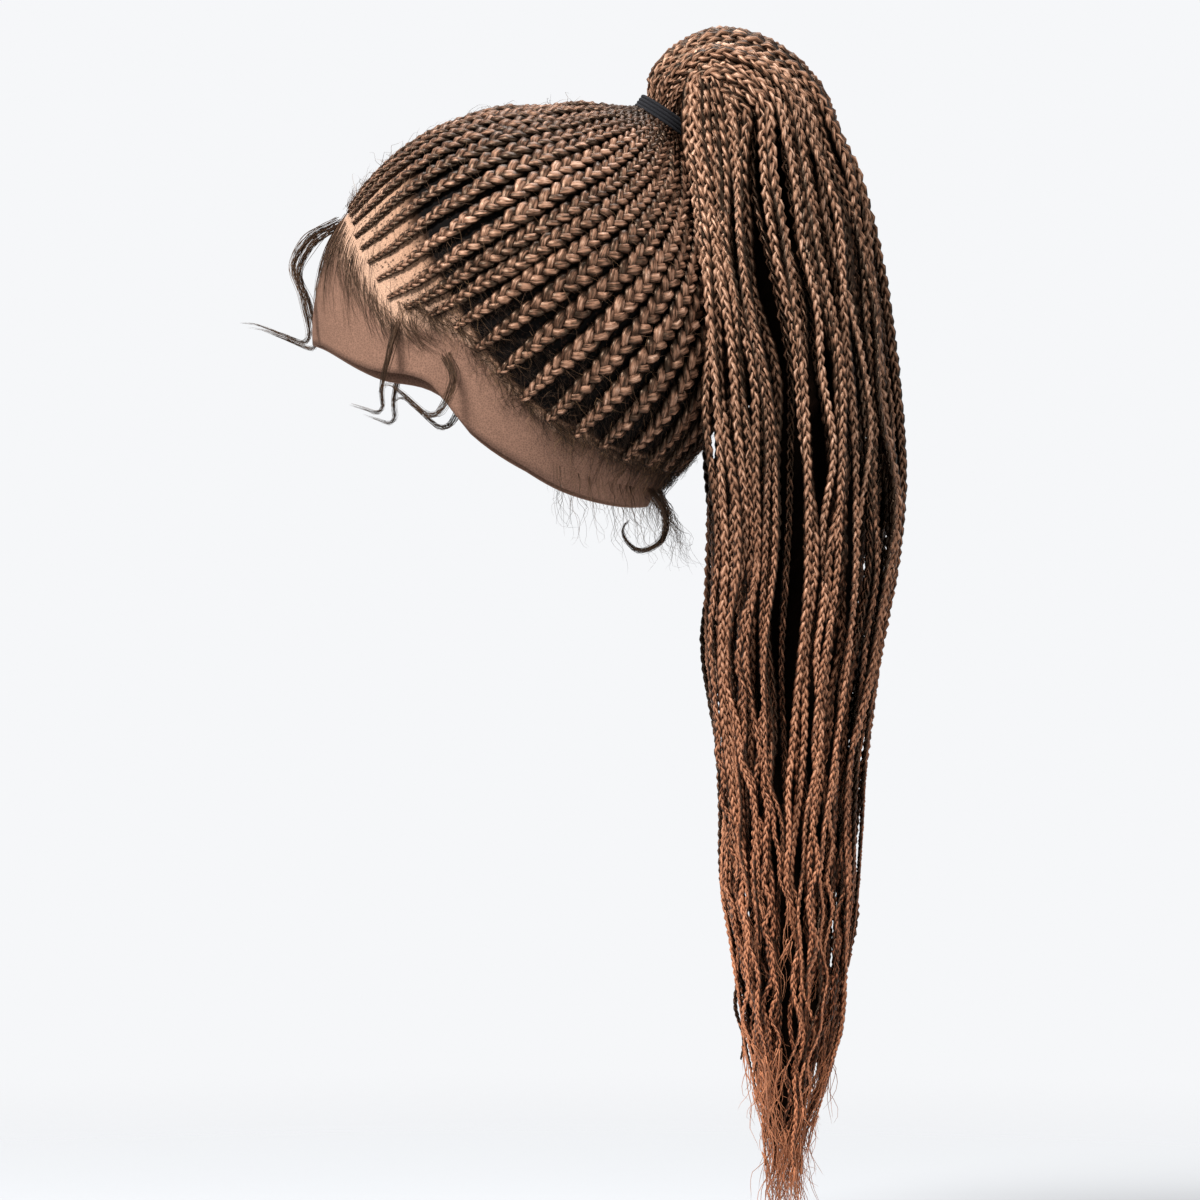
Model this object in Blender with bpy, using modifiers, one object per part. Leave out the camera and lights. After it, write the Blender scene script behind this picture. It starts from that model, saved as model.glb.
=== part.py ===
"""Braid wig: a full-lace cap with rows braided back into a high ponytail.

Metres, +Z up. The wearer faces -Y and the wearer's left is +X. The origin is the inside of the crown,
where the cap sits on a head. Run with: blender --background --python part.py
"""

from math import asin, atan2, cos, degrees, pi, radians, sin

import bmesh
import bpy
from mathutils import Vector

# Driving dimensions, in metres

HEAD_HALF_WIDTH = 0.0760        # inside the cap, at its widest level
HEAD_FRONT = 0.0940             # from the head's middle to the forehead
HEAD_BACK = 0.0900              # from the head's middle to the back of the head
HEAD_MIDDLE_BACK = -0.0090      # the middle's place along Y
CROWN_HEIGHT = 0.0970           # from the widest level up to the crown
NAPE_DROP = 0.0780              # from the widest level down to the lowest edge
CAP_WALL = 0.0015               # lace with its knots and the stitched net

SEAT_GAP = 0.0005               # between a row and the cap under it
LANE_GAP = 0.0007               # between two rows side by side

ROWS_PER_SIDE = 22
ROW_START_WIDTH = 0.0018
ROW_FULL_WIDTH = 0.0098
ROW_GROWTH = 0.0850             # the run over which a row reaches its full width
ROW_THICKNESS = 0.0047
ROW_START_THICKNESS = 0.0014
GATHER_RADIUS = 0.0270          # round the foot of the ponytail, where the rows end
GATHER_LIFT = 0.0050            # how far the rows rise off the cap there
GATHER_RUN = 0.0260             # the run over which they rise

TIE_TILT = 35.0                 # degrees that the ponytail leans back from straight up
TIE_HEIGHT = 0.0200             # from the cap to the middle of the band
NECK_RADIUS = 0.0127            # the hair inside the band
BAND_GAP = 0.0004
BAND_WALL = 0.0026
BAND_WIDTH = 0.0064
BAND_RIDGES = 4
RIDGE_DEPTH = 0.35              # of a ridge's width

ARCH_RISE = 0.0410              # from the band's middle up to the top of the arch
PONYTAIL_REACH = 0.1100         # from the band's middle back to the furthest braid
PONYTAIL_DROP = 0.4700          # from the band's middle down to where the ends thin out
PONYTAIL_HALF_WIDTH = 0.0500
RIM_CLEARANCE = 0.0022          # hair that turns over the band's back rim
ROOT_SHOULDER = 0.0075          # height of the root where the rows meet it
PLUME_CLEARANCE = 0.0022        # between the hanging braids and the rows below
LOCKS = 18
LOCK_GROOVE = 0.09              # depth of the grooves between locks, as a share of the radius
NECK_GROOVE = 0.03              # the same inside the band, which presses the locks together
TIP_LENGTH = 0.0850
TIP_RADIUS = 0.0075
TIP_LEAN = 0.08                 # how far the ends draw together, for each unit of length

LOCK_RADIUS = 0.0014            # a loose baby-hair lock at its root
LOCK_SEAT = 0.0001              # between that lock and the lace, whose facets lie a little inside
FRONT_LOCK = 0.0640             # reach of each loose lock
TEMPLE_LOCK = 0.0440
SIDEBURN_LOCK = 0.0400
NAPE_LOCK = 0.0300

# Detail of the faceted solids

CAP_COLUMNS = 32
CAP_RINGS = 11
ROW_STATIONS = 10
BAND_STEPS = 24
POINTS_PER_LOCK = 3
LOCK_STATIONS = 9

# Below the widest level: share of the nape drop, then of the half width, the front and the back

LOWER_HEAD = (
    (0.00, 1.000, 1.000, 1.000),
    (0.30, 0.980, 0.985, 0.970),
    (0.54, 0.925, 0.940, 0.880),
    (0.76, 0.825, 0.860, 0.735),
    (0.87, 0.765, 0.810, 0.655),
    (1.00, 0.720, 0.770, 0.590),
)

# The lace's lower edge: degrees round from the front, share of the whole height down from the crown

LACE_EDGE = (
    (0, 0.577),
    (20, 0.590),
    (45, 0.655),
    (64, 0.690),
    (74, 0.800),
    (90, 0.893),
    (110, 0.955),
    (140, 0.988),
    (180, 0.990),
)

# The line where the rows start: degrees round from the front, share of the whole height

HAIRLINE = (
    (0, 0.222),
    (10, 0.245),
    (24, 0.276),
    (30, 0.312),
    (40, 0.372),
    (47, 0.433),
    (53, 0.488),
    (63, 0.520),
    (73, 0.560),
    (83, 0.664),
    (95, 0.770),
    (108, 0.820),
    (127, 0.870),
    (158, 0.893),
    (180, 0.898),
)

# The rows of one side, from the front to the back: share of their number, degrees round the tie where a
# row starts at the hairline, degrees round the tie where it ends at the gather, the power of its swing
# between the two (below 1 it swings back early and then runs straight), the run over which it grows as a
# share of the row growth, and its first width and thickness as shares of the start sizes

ROW_SWEEP = (
    (0.00, 0, 0, 0.65, 1.00, 1.00),
    (0.17, 22, 40, 0.65, 1.00, 1.00),
    (0.39, 53, 86, 0.70, 0.80, 1.10),
    (0.52, 75, 110, 0.95, 0.50, 1.70),
    (0.65, 100, 129, 1.10, 0.38, 2.20),
    (0.82, 136, 152, 1.10, 0.38, 2.20),
    (1.00, 180, 180, 1.00, 0.40, 2.20),
)

# A row's section: share of its half width, share of its height

ROW_OUTLINE = ((-0.80, 0.00), (-1.00, 0.45), (-0.50, 1.00), (0.50, 1.00), (1.00, 0.45), (0.80, 0.00))
GROWTH_POWER = 0.8              # below 1 a row widens quickly at first

# The root: its sole lies on the cap in rings, given as shares of the gather radius. Above it each row has a
# radius as a share of the gather radius and a height as a share of the root's shoulder

SOLE_SHARES = (0.32, 0.66)
ROOT_PROFILE = (
    (0.96, 1.00),
    (0.76, 1.42),
    (0.58, 1.84),
)

# The arch: outer side as shares of the reach and the rise, degrees of turn over the band's back rim,
# share of the half width

ARCH = (
    (-0.060, 0.520, -40, 0.33),
    (0.050, 0.810, -15, 0.46),
    (0.210, 0.985, 10, 0.58),
    (0.375, 0.912, 35, 0.68),
    (0.530, 0.668, 60, 0.76),
    (0.645, 0.302, 85, 0.81),
)

# The fall: share of the drop, outer side and inner side as shares of the reach, how far the sides come
# forward of the inner side as a share of the reach, share of the half width

FALL = (
    (0.028, 0.735, 0.155, 0.070, 0.84),
    (0.062, 0.800, 0.150, 0.110, 0.90),
    (0.108, 0.858, 0.145, 0.100, 0.96),
    (0.180, 0.915, 0.140, 0.060, 1.00),
    (0.245, 0.950, 0.190, 0.050, 1.00),
    (0.298, 0.975, 0.200, 0.050, 1.00),
    (0.356, 0.990, 0.145, 0.000, 0.96),
    (0.432, 0.964, 0.150, 0.000, 0.92),
    (0.508, 0.900, 0.173, 0.000, 0.86),
    (0.582, 0.840, 0.205, 0.000, 0.80),
    (0.656, 0.810, 0.200, 0.000, 0.74),
    (0.730, 0.796, 0.190, 0.000, 0.68),
    (0.795, 0.773, 0.250, 0.000, 0.60),
    (0.860, 0.727, 0.300, 0.000, 0.50),
    (0.915, 0.664, 0.350, 0.000, 0.38),
    (0.970, 0.580, 0.400, 0.000, 0.22),
)

# A tapered end's rings: share of its length, share of the tip radius

TIP_RINGS = ((0.00, 1.00), (0.45, 0.85), (0.80, 0.45))

# The tapered ends: side as a share of the half width, back as a share of the reach, where the lock
# leaves the fall as a share of the drop, length as a share of the tip length

TIPS = (
    (0.00, 0.460, 0.940, 0.72),
    (0.10, 0.560, 0.900, 0.78),
    (-0.12, 0.480, 0.900, 0.90),
    (0.24, 0.510, 0.860, 0.82),
    (-0.26, 0.600, 0.860, 0.86),
    (0.30, 0.640, 0.820, 0.70),
    (-0.36, 0.530, 0.820, 0.80),
    (0.02, 0.680, 0.820, 0.74),
)

# Loose locks: places beside, in front of and below the root, as shares of the lock's reach

FRONT_CURL = (
    (0.00, 0.00, 0.00),
    (0.10, 0.20, 0.12),
    (0.18, 0.31, 0.32),
    (0.26, 0.24, 0.54),
    (0.30, 0.20, 0.85),
    (0.28, 0.38, 0.80),
    (0.22, 0.56, 0.73),
    (0.15, 0.71, 0.71),
)
TEMPLE_CURL = (
    (0.00, 0.00, 0.00),
    (0.12, 0.06, 0.28),
    (0.16, 0.14, 0.64),
    (0.13, 0.14, 0.88),
    (0.10, 0.32, 0.84),
    (0.06, 0.50, 0.78),
)
SIDEBURN_CURL = (
    (0.00, 0.00, 0.00),
    (0.12, -0.08, 0.28),
    (0.17, 0.14, 0.66),
    (0.15, 0.50, 0.40),
    (0.12, 0.66, 0.30),
    (0.10, 0.80, 0.50),
)
NAPE_CURL = (
    (0.00, 0.00, 0.00),
    (0.06, -0.22, 0.30),
    (0.10, -0.20, 0.72),
    (0.12, 0.16, 0.90),
    (0.10, 0.42, 0.60),
    (0.08, 0.20, 0.36),
)

# Name, curl, reach, degrees round from the front, share of the whole height

BABY_HAIR = (
    ("front", FRONT_CURL, FRONT_LOCK, 8, 0.275),
    ("temple", TEMPLE_CURL, TEMPLE_LOCK, 55, 0.545),
    ("sideburn", SIDEBURN_CURL, SIDEBURN_LOCK, 70, 0.625),
    ("nape", NAPE_CURL, NAPE_LOCK, 158, 0.945),
)

# Colours, linear, and roughness

LACE_COLOUR = (0.520, 0.330, 0.220)
BRAID_COLOUR = (0.070, 0.038, 0.026)
ENDS_COLOUR = (0.150, 0.062, 0.036)
ELASTIC_COLOUR = (0.010, 0.010, 0.012)
BABY_COLOUR = (0.055, 0.034, 0.026)

HEAD_CENTRE = Vector((0.0, HEAD_MIDDLE_BACK, -CROWN_HEIGHT))
WHOLE_HEIGHT = CROWN_HEIGHT + NAPE_DROP
NAPE_POLAR = radians(135)       # the polar angle that stands for the lowest edge
PUSH_STEP = 0.0005              # hanging hair is moved back off the head in steps of this size
PUSH_STEPS = 120
HALVINGS = 30                   # how often a span is halved to find a place on the cap
NORMAL_STEP = 0.02              # half the angle over which the head's normal is measured
ROUNDING_POWER = 0.8            # below 1 the ponytail's ovals are fuller on their inner and outer side
FORWARD_POWER = 1.5             # above 1 only the ponytail's sides come forward
LOCK_TAPER = 0.75               # how much thinner a loose lock is at its tip
SHARP_ANGLE = radians(50)       # edges sharper than this stay sharp in smooth shading


def table_value(table, key, column):
    """A smooth value between a table's rows: cubic, with slopes from the rows on both sides."""
    rows = [(row[0], row[column]) for row in table]
    if key <= rows[0][0]:
        return rows[0][1]
    if key >= rows[-1][0]:
        return rows[-1][1]
    index = max(i for i in range(len(rows) - 1) if rows[i][0] <= key)
    before = rows[max(index - 1, 0)]
    low, high = rows[index], rows[index + 1]
    after = rows[min(index + 2, len(rows) - 1)]
    span = high[0] - low[0]
    slope_low = (high[1] - before[1]) / (high[0] - before[0])
    slope_high = (after[1] - low[1]) / (after[0] - low[0])
    t = (key - low[0]) / span
    return ((2 * t**3 - 3 * t**2 + 1) * low[1] + (t**3 - 2 * t**2 + t) * span * slope_low
            + (3 * t**2 - 2 * t**3) * high[1] + (t**3 - t**2) * span * slope_high)


def smooth_step(value):
    """0 below 0, 1 above 1, and a smooth rise between."""
    t = min(max(value, 0.0), 1.0)
    return t * t * (3 - 2 * t)


# The head's form

def polar_at_depth(share):
    """The polar angle of a level given as a share of the whole height down from the crown."""
    depth = share * WHOLE_HEIGHT
    if depth <= CROWN_HEIGHT:
        return pi / 2 - asin(1 - depth / CROWN_HEIGHT)
    return pi / 2 + (NAPE_POLAR - pi / 2) * (depth - CROWN_HEIGHT) / NAPE_DROP


def head_level(polar):
    """Height of the level at a polar angle, and its half sizes to the side, front and back."""
    if polar <= pi / 2:
        share = sin(polar)
        height = CROWN_HEIGHT * cos(polar)
        return height, HEAD_HALF_WIDTH * share, HEAD_FRONT * share, HEAD_BACK * share
    share = (polar - pi / 2) / (NAPE_POLAR - pi / 2)
    side, front, back = (table_value(LOWER_HEAD, share, column) for column in (1, 2, 3))
    return -NAPE_DROP * share, HEAD_HALF_WIDTH * side, HEAD_FRONT * front, HEAD_BACK * back


def inner_point(azimuth, polar):
    """A point on the head, from the angle round from the front and the angle down from the crown."""
    height, side, front, back = head_level(polar)
    length = front if cos(azimuth) > 0 else back
    return HEAD_CENTRE + Vector((side * sin(azimuth), -length * cos(azimuth), height))


def head_normal(azimuth, polar):
    """The head's outward normal, from points a little to each side."""
    polar = max(polar, NORMAL_STEP)
    along = inner_point(azimuth, polar + NORMAL_STEP) - inner_point(azimuth, polar - NORMAL_STEP)
    around = inner_point(azimuth + NORMAL_STEP, polar) - inner_point(azimuth - NORMAL_STEP, polar)
    return along.cross(around).normalized()


def cap_point(azimuth, polar, lift=0.0):
    """A point over the cap's outer face, raised by lift."""
    return inner_point(azimuth, polar) + head_normal(azimuth, polar) * (CAP_WALL + lift)


def angles_of(direction):
    """The two angles of a direction from the head's centre."""
    unit = direction.normalized()
    return atan2(unit.x, -unit.y), pi / 2 - asin(max(-1.0, min(1.0, unit.z)))


# The tie: its foot on the cap, its axis, and the frame round it

TIE_POLAR = radians(TIE_TILT)
TIE_FOOT = cap_point(pi, TIE_POLAR)
TIE_AXIS = Vector((0.0, sin(TIE_POLAR), cos(TIE_POLAR)))
TIE_FRONT = Vector((0.0, -cos(TIE_POLAR), sin(TIE_POLAR)))
TIE_SIDE = Vector((1.0, 0.0, 0.0))
BAND_CENTRE = TIE_FOOT + TIE_AXIS * TIE_HEIGHT
BAND_INNER = NECK_RADIUS + BAND_GAP
BAND_OUTER = BAND_INNER + BAND_WALL


def gather_direction(turn, spread):
    """A direction from the head's centre: turn round the tie from its front, spread away from it."""
    around = TIE_FRONT * cos(turn) + TIE_SIDE * sin(turn)
    return TIE_AXIS * cos(spread) + around * sin(spread)


def hair_height(point):
    """How high the rows stand off the cap at a point: their thickness and their rise to the tie."""
    distance = (point - TIE_FOOT).length
    return ROW_THICKNESS + GATHER_LIFT * smooth_step((GATHER_RADIUS + GATHER_RUN - distance) / GATHER_RUN)


def spread_at_radius(turn, radius):
    """The spread at which the cap lies one radius from the tie's foot."""
    low, high = 0.0, radians(60)
    for _ in range(HALVINGS):
        middle = (low + high) / 2
        point = cap_point(*angles_of(gather_direction(turn, middle)))
        if (point - TIE_FOOT).length < radius:
            low = middle
        else:
            high = middle
    return low


def spread_at_hairline(turn):
    """The spread at which a line of constant turn crosses the hairline."""
    low, high = radians(60), radians(125)
    for _ in range(HALVINGS):
        middle = (low + high) / 2
        azimuth, polar = angles_of(gather_direction(turn, middle))
        share = table_value(HAIRLINE, abs(degrees(azimuth)), 1)
        if polar < polar_at_depth(share):
            low = middle
        else:
            high = middle
    return low


# Building meshes

def new_material(name, colour, roughness):
    """A plain material with a colour and a roughness."""
    material = bpy.data.materials.new(name)
    material.use_nodes = True
    shader = material.node_tree.nodes["Principled BSDF"]
    shader.inputs["Base Color"].default_value = (*colour, 1.0)
    shader.inputs["Roughness"].default_value = roughness
    shader.inputs["Metallic"].default_value = 0.0
    material.diffuse_color = (*colour, 1.0)
    return material


def new_object(name, bm, material, collection):
    """An object from a bmesh, with smooth shading and sharp edges kept."""
    mesh = bpy.data.meshes.new(name)
    bm.to_mesh(mesh)
    bm.free()
    mesh.shade_smooth()
    mesh.set_sharp_from_angle(angle=SHARP_ANGLE)
    mesh.materials.append(material)
    piece = bpy.data.objects.new(name, mesh)
    collection.objects.link(piece)
    return piece


def loft(sections, start_point=None, end_point=None):
    """A closed body through rings of points, closed at each end by a point or a flat face."""
    bm = bmesh.new()
    rings = [[bm.verts.new(point) for point in section] for section in sections]
    count = len(sections[0])
    for lower, upper in zip(rings, rings[1:]):
        for i in range(count):
            j = (i + 1) % count
            bm.faces.new((lower[i], lower[j], upper[j], upper[i]))
    for ring, point in ((rings[0], start_point), (rings[-1], end_point)):
        if point is None:
            bm.faces.new(ring)
            continue
        apex = bm.verts.new(point)
        for i in range(count):
            bm.faces.new((ring[i], ring[(i + 1) % count], apex))
    bmesh.ops.triangulate(bm, faces=bm.faces[:])
    bmesh.ops.recalc_face_normals(bm, faces=bm.faces[:])
    return bm


# The lace cap

def build_lace_cap(material, collection):
    """The head's form down to the lace's edge, as an open surface with a wall added inside it."""
    bm = bmesh.new()
    bmesh.ops.create_uvsphere(bm, u_segments=CAP_COLUMNS, v_segments=CAP_RINGS + 1, radius=1.0)
    bmesh.ops.delete(bm, geom=[min(bm.verts, key=lambda v: v.co.z)], context="VERTS")
    for vert in bm.verts:
        azimuth, polar = angles_of(vert.co)
        edge = polar_at_depth(table_value(LACE_EDGE, abs(degrees(azimuth)), 1))
        share = polar / (pi * CAP_RINGS / (CAP_RINGS + 1))
        vert.co = cap_point(azimuth, edge * share)
    bmesh.ops.recalc_face_normals(bm, faces=bm.faces[:])
    cap = new_object("lace_cap", bm, material, collection)
    wall = cap.modifiers.new("wall", "SOLIDIFY")
    wall.thickness = CAP_WALL
    wall.offset = -1.0
    return cap


# The rows

def row_route(number, side):
    """Stations of one row, from the hairline to the gather: place on the cap and outward normal."""
    order = number / (ROWS_PER_SIDE + 1)
    start = radians(table_value(ROW_SWEEP, order, 1))
    end = radians(table_value(ROW_SWEEP, order, 2))
    power = table_value(ROW_SWEEP, order, 3)
    start_spread = spread_at_hairline(start)
    end_spread = spread_at_radius(end, GATHER_RADIUS)
    route = []
    for i in range(ROW_STATIONS):
        share = i / (ROW_STATIONS - 1)
        turn = start + (end - start) * share ** power
        spread = start_spread + (end_spread - start_spread) * share
        azimuth, polar = angles_of(gather_direction(turn * side, spread))
        route.append((cap_point(azimuth, polar), head_normal(azimuth, polar)))
    return route


def nearest_distance(point, route):
    """The distance from a point to the line through a route's stations."""
    best = None
    for (start, _), (end, _) in zip(route, route[1:]):
        run = end - start
        share = min(max((point - start).dot(run) / run.length_squared, 0.0), 1.0)
        distance = (start + run * share - point).length
        best = distance if best is None else min(best, distance)
    return best


def row_sections(number, route, neighbours):
    """Six-sided sections along a row: flat on the cap, rounded above, as wide as its lane allows."""
    order = number / (ROWS_PER_SIDE + 1)
    growth_run = ROW_GROWTH * table_value(ROW_SWEEP, order, 4)
    start_share = table_value(ROW_SWEEP, order, 5)
    start_width = ROW_START_WIDTH * start_share
    start_thickness = ROW_START_THICKNESS * start_share
    sections = []
    run = 0.0
    for i, (point, normal) in enumerate(route):
        before = route[max(i - 1, 0)][0]
        after = route[min(i + 1, len(route) - 1)][0]
        run += (point - before).length
        across = (after - before).normalized().cross(normal).normalized()
        growth = min(run / growth_run, 1.0) ** GROWTH_POWER
        lane = min(nearest_distance(point, other) for other in neighbours) - LANE_GAP
        width = min(start_width + (ROW_FULL_WIDTH - start_width) * growth, lane)
        risen = hair_height(point) - ROW_THICKNESS
        height = start_thickness + (ROW_THICKNESS - start_thickness) * growth + risen
        base = point + normal * SEAT_GAP
        sections.append([base + across * (width / 2 * a) + normal * ((height - SEAT_GAP) * b)
                         for a, b in ROW_OUTLINE])
    return sections


def build_rows(material, collection):
    """All the rows, in order round the gather from the front, so that each knows its neighbours."""
    names = ["cornrow_front"]
    numbers = [0]
    routes = [row_route(0, 1)]
    for side, word in ((1, "left"), (-1, "right")):
        ordered = range(1, ROWS_PER_SIDE + 1) if side == 1 else range(ROWS_PER_SIDE, 0, -1)
        for k in ordered:
            names.append(f"cornrow_{word}_{k:02d}")
            numbers.append(k)
            routes.append(row_route(k, side))
        if side == 1:
            names.append("cornrow_back")
            numbers.append(ROWS_PER_SIDE + 1)
            routes.append(row_route(ROWS_PER_SIDE + 1, 1))
    for i, name in enumerate(names):
        neighbours = (routes[i - 1], routes[(i + 1) % len(routes)])
        sections = row_sections(numbers[i], routes[i], neighbours)
        new_object(name, loft(sections), material, collection)


# The elastic band

def build_elastic_band(material, collection):
    """A ring turned round the tie's axis, with rounded cord ridges on its outside."""
    points = [(BAND_INNER, -BAND_WIDTH / 2), (BAND_INNER, BAND_WIDTH / 2)]
    ridge_width = BAND_WIDTH / BAND_RIDGES
    groove = BAND_OUTER - ridge_width * RIDGE_DEPTH
    for i in range(BAND_RIDGES):
        top = BAND_WIDTH / 2 - ridge_width * i
        points.append((groove, top))
        points.append((BAND_OUTER, top - ridge_width / 2))
    points.append((groove, -BAND_WIDTH / 2))
    sections = []
    for step in range(BAND_STEPS):
        angle = 2 * pi * step / BAND_STEPS
        outward = TIE_FRONT * cos(angle) + TIE_SIDE * sin(angle)
        sections.append([BAND_CENTRE + outward * radius + TIE_AXIS * height for radius, height in points])
    bm = bmesh.new()
    rings = [[bm.verts.new(point) for point in section] for section in sections]
    for i, ring in enumerate(rings):
        following = rings[(i + 1) % BAND_STEPS]
        for a in range(len(points)):
            b = (a + 1) % len(points)
            bm.faces.new((ring[a], ring[b], following[b], following[a]))
    bmesh.ops.triangulate(bm, faces=bm.faces[:])
    bmesh.ops.recalc_face_normals(bm, faces=bm.faces[:])
    return new_object("elastic_band", bm, material, collection)


# The ponytail

def round_section(centre, radius, groove):
    """A lobed ring round the tie's axis. It starts at the front, which becomes the arch's outer side."""
    count = LOCKS * POINTS_PER_LOCK
    points = []
    for i in range(count):
        angle = 2 * pi * i / count
        lobe = 1 - groove * abs(sin(LOCKS * angle / 2 + pi / 2))
        points.append(centre + (TIE_FRONT * cos(angle) + TIE_SIDE * sin(angle)) * (radius * lobe))
    return points


def plume_section(outer, inner, half_width, sides_forward):
    """A lobed oval between its outer and inner side, pushed clear of the head and its rows."""
    count = LOCKS * POINTS_PER_LOCK
    centre = (outer + inner) / 2
    depth = (inner - outer) / 2
    points = []
    for i in range(count):
        angle = 2 * pi * i / count
        lobe = 1 - LOCK_GROOVE * abs(sin(LOCKS * angle / 2 + pi / 2))
        inward = -cos(angle)
        aside = sin(angle)
        rounded = abs(inward) ** ROUNDING_POWER * (1 if inward > 0 else -1)
        point = centre + depth * (rounded * lobe) + TIE_SIDE * (half_width * lobe * aside)
        point.y -= sides_forward * abs(aside) ** FORWARD_POWER * (1 + rounded) / 2
        points.append(clear_of_head(point))
    return points


def clear_of_head(point):
    """Moves a point straight back until it is clear of the head and the rows on it."""
    moved = point.copy()
    for _ in range(PUSH_STEPS):
        azimuth, polar = head_angles(moved)
        surface = cap_point(azimuth, polar)
        stand = (moved - surface).dot(head_normal(azimuth, polar))
        if polar >= NAPE_POLAR or stand >= hair_height(surface) + PLUME_CLEARANCE:
            return moved
        moved.y += PUSH_STEP
    return moved


def head_angles(point):
    """The head's angles of a point near its surface, from the half sizes at the point's own level."""
    offset = point - HEAD_CENTRE
    length = HEAD_FRONT if offset.y < 0 else HEAD_BACK
    if offset.z >= 0:
        return angles_of(Vector((offset.x / HEAD_HALF_WIDTH, offset.y / length, offset.z / CROWN_HEIGHT)))
    share = min(-offset.z / NAPE_DROP, 1.0)
    polar = pi / 2 + (NAPE_POLAR - pi / 2) * share
    _, side, front, back = head_level(polar)
    length = front if offset.y < 0 else back
    return atan2(offset.x / side, -offset.y / length), polar


def ponytail_sections():
    """Rings from the sole on the cap, up the root, through the band, over the arch and down."""
    sections = []
    for share in SOLE_SHARES:
        sections.append(sole_ring(GATHER_RADIUS * share))
    sections.append(sole_ring(GATHER_RADIUS * ROOT_PROFILE[0][0]))
    for radius, height in ROOT_PROFILE:
        centre = TIE_FOOT + TIE_AXIS * (ROOT_SHOULDER * height)
        sections.append(round_section(centre, GATHER_RADIUS * radius, LOCK_GROOVE))
    for end in (-1, 1):
        centre = BAND_CENTRE + TIE_AXIS * (end * (BAND_WIDTH / 2 + BAND_GAP))
        sections.append(round_section(centre, NECK_RADIUS, NECK_GROOVE))
    rim = BAND_CENTRE + TIE_AXIS * (BAND_WIDTH / 2) - TIE_FRONT * BAND_OUTER
    for back, rise, turn, width in ARCH:
        outer = BAND_CENTRE + Vector((0.0, back * PONYTAIL_REACH, rise * ARCH_RISE))
        around = TIE_AXIS * cos(radians(turn)) - TIE_FRONT * sin(radians(turn))
        inner = rim + around * RIM_CLEARANCE
        sections.append(plume_section(outer, inner, width * PONYTAIL_HALF_WIDTH, 0.0))
    for down, outside, inside, forward, width in FALL:
        level = -down * PONYTAIL_DROP
        outer = BAND_CENTRE + Vector((0.0, outside * PONYTAIL_REACH, level))
        inner = BAND_CENTRE + Vector((0.0, inside * PONYTAIL_REACH, level))
        sections.append(plume_section(outer, inner, width * PONYTAIL_HALF_WIDTH,
                                      forward * PONYTAIL_REACH))
    return sections


def sole_ring(radius):
    """A ring that lies on the cap round the tie's foot."""
    count = LOCKS * POINTS_PER_LOCK
    points = []
    for i in range(count):
        angle = 2 * pi * i / count
        spread = spread_at_radius(angle, radius)
        points.append(cap_point(*angles_of(gather_direction(angle, spread)), SEAT_GAP))
    return points


def tip_lock(side, back, leave, length):
    """One tapered end: a six-sided tube that narrows to a point."""
    top = BAND_CENTRE + Vector((side * PONYTAIL_HALF_WIDTH, back * PONYTAIL_REACH, -leave * PONYTAIL_DROP))
    lean = Vector((-side * TIP_LEAN, -TIP_LEAN, -1.0)).normalized()
    reach = length * TIP_LENGTH
    rings = []
    for share, thickness in TIP_RINGS:
        centre = top + lean * (reach * share)
        rings.append([centre + Vector((cos(a), sin(a), 0.0)) * (TIP_RADIUS * thickness)
                      for a in (2 * pi * i / 6 for i in range(6))])
    return loft(rings, None, top + lean * reach)


def build_ponytail(material, collection, cutters):
    """The ponytail's body with its tapered ends joined to it."""
    sections = ponytail_sections()
    sole = cap_point(pi, TIE_POLAR, SEAT_GAP)
    end = sum(sections[-1], Vector()) / len(sections[-1])
    body = new_object("ponytail", loft(sections, sole, end), material, collection)
    for i, row in enumerate(TIPS):
        lock = new_object(f"ponytail_end_{i + 1}", tip_lock(*row), material, cutters)
        lock.hide_render = True
        lock.display_type = "WIRE"
        joined = body.modifiers.new(f"end {i + 1}", "BOOLEAN")
        joined.operation = "UNION"
        joined.object = lock
    return body


# The loose locks at the hairline

def smooth_route(points, stations):
    """Points read from a smooth curve through a short list of places."""
    rows = [(float(i), *point) for i, point in enumerate(points)]
    last = len(rows) - 1
    keys = [last * i / (stations - 1) for i in range(stations)]
    return [Vector([table_value(rows, key, column) for column in (1, 2, 3)]) for key in keys]


def build_baby_hair(material, collection):
    """Each lock on both sides: a thin tapered tube that leaves the lace and curls."""
    for name, curl, reach, azimuth, share in BABY_HAIR:
        for side, word in ((1, "left"), (-1, "right")):
            root = cap_point(radians(azimuth) * side, polar_at_depth(share), LOCK_SEAT + LOCK_RADIUS)
            curve = bpy.data.curves.new(f"baby_hair_{name}_{word}", "CURVE")
            curve.dimensions = "3D"
            curve.bevel_depth = LOCK_RADIUS
            curve.bevel_resolution = 1
            curve.use_fill_caps = True
            spline = curve.splines.new("POLY")
            route = smooth_route(curl, LOCK_STATIONS)
            spline.points.add(len(route) - 1)
            for i, place in enumerate(route):
                aside, ahead, below = place
                point = root + Vector((aside * side, -ahead, -below)) * reach
                spline.points[i].co = (*point, 1.0)
                spline.points[i].radius = 1.0 - LOCK_TAPER * i / (len(route) - 1)
            curve.materials.append(material)
            piece = bpy.data.objects.new(curve.name, curve)
            collection.objects.link(piece)


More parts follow.
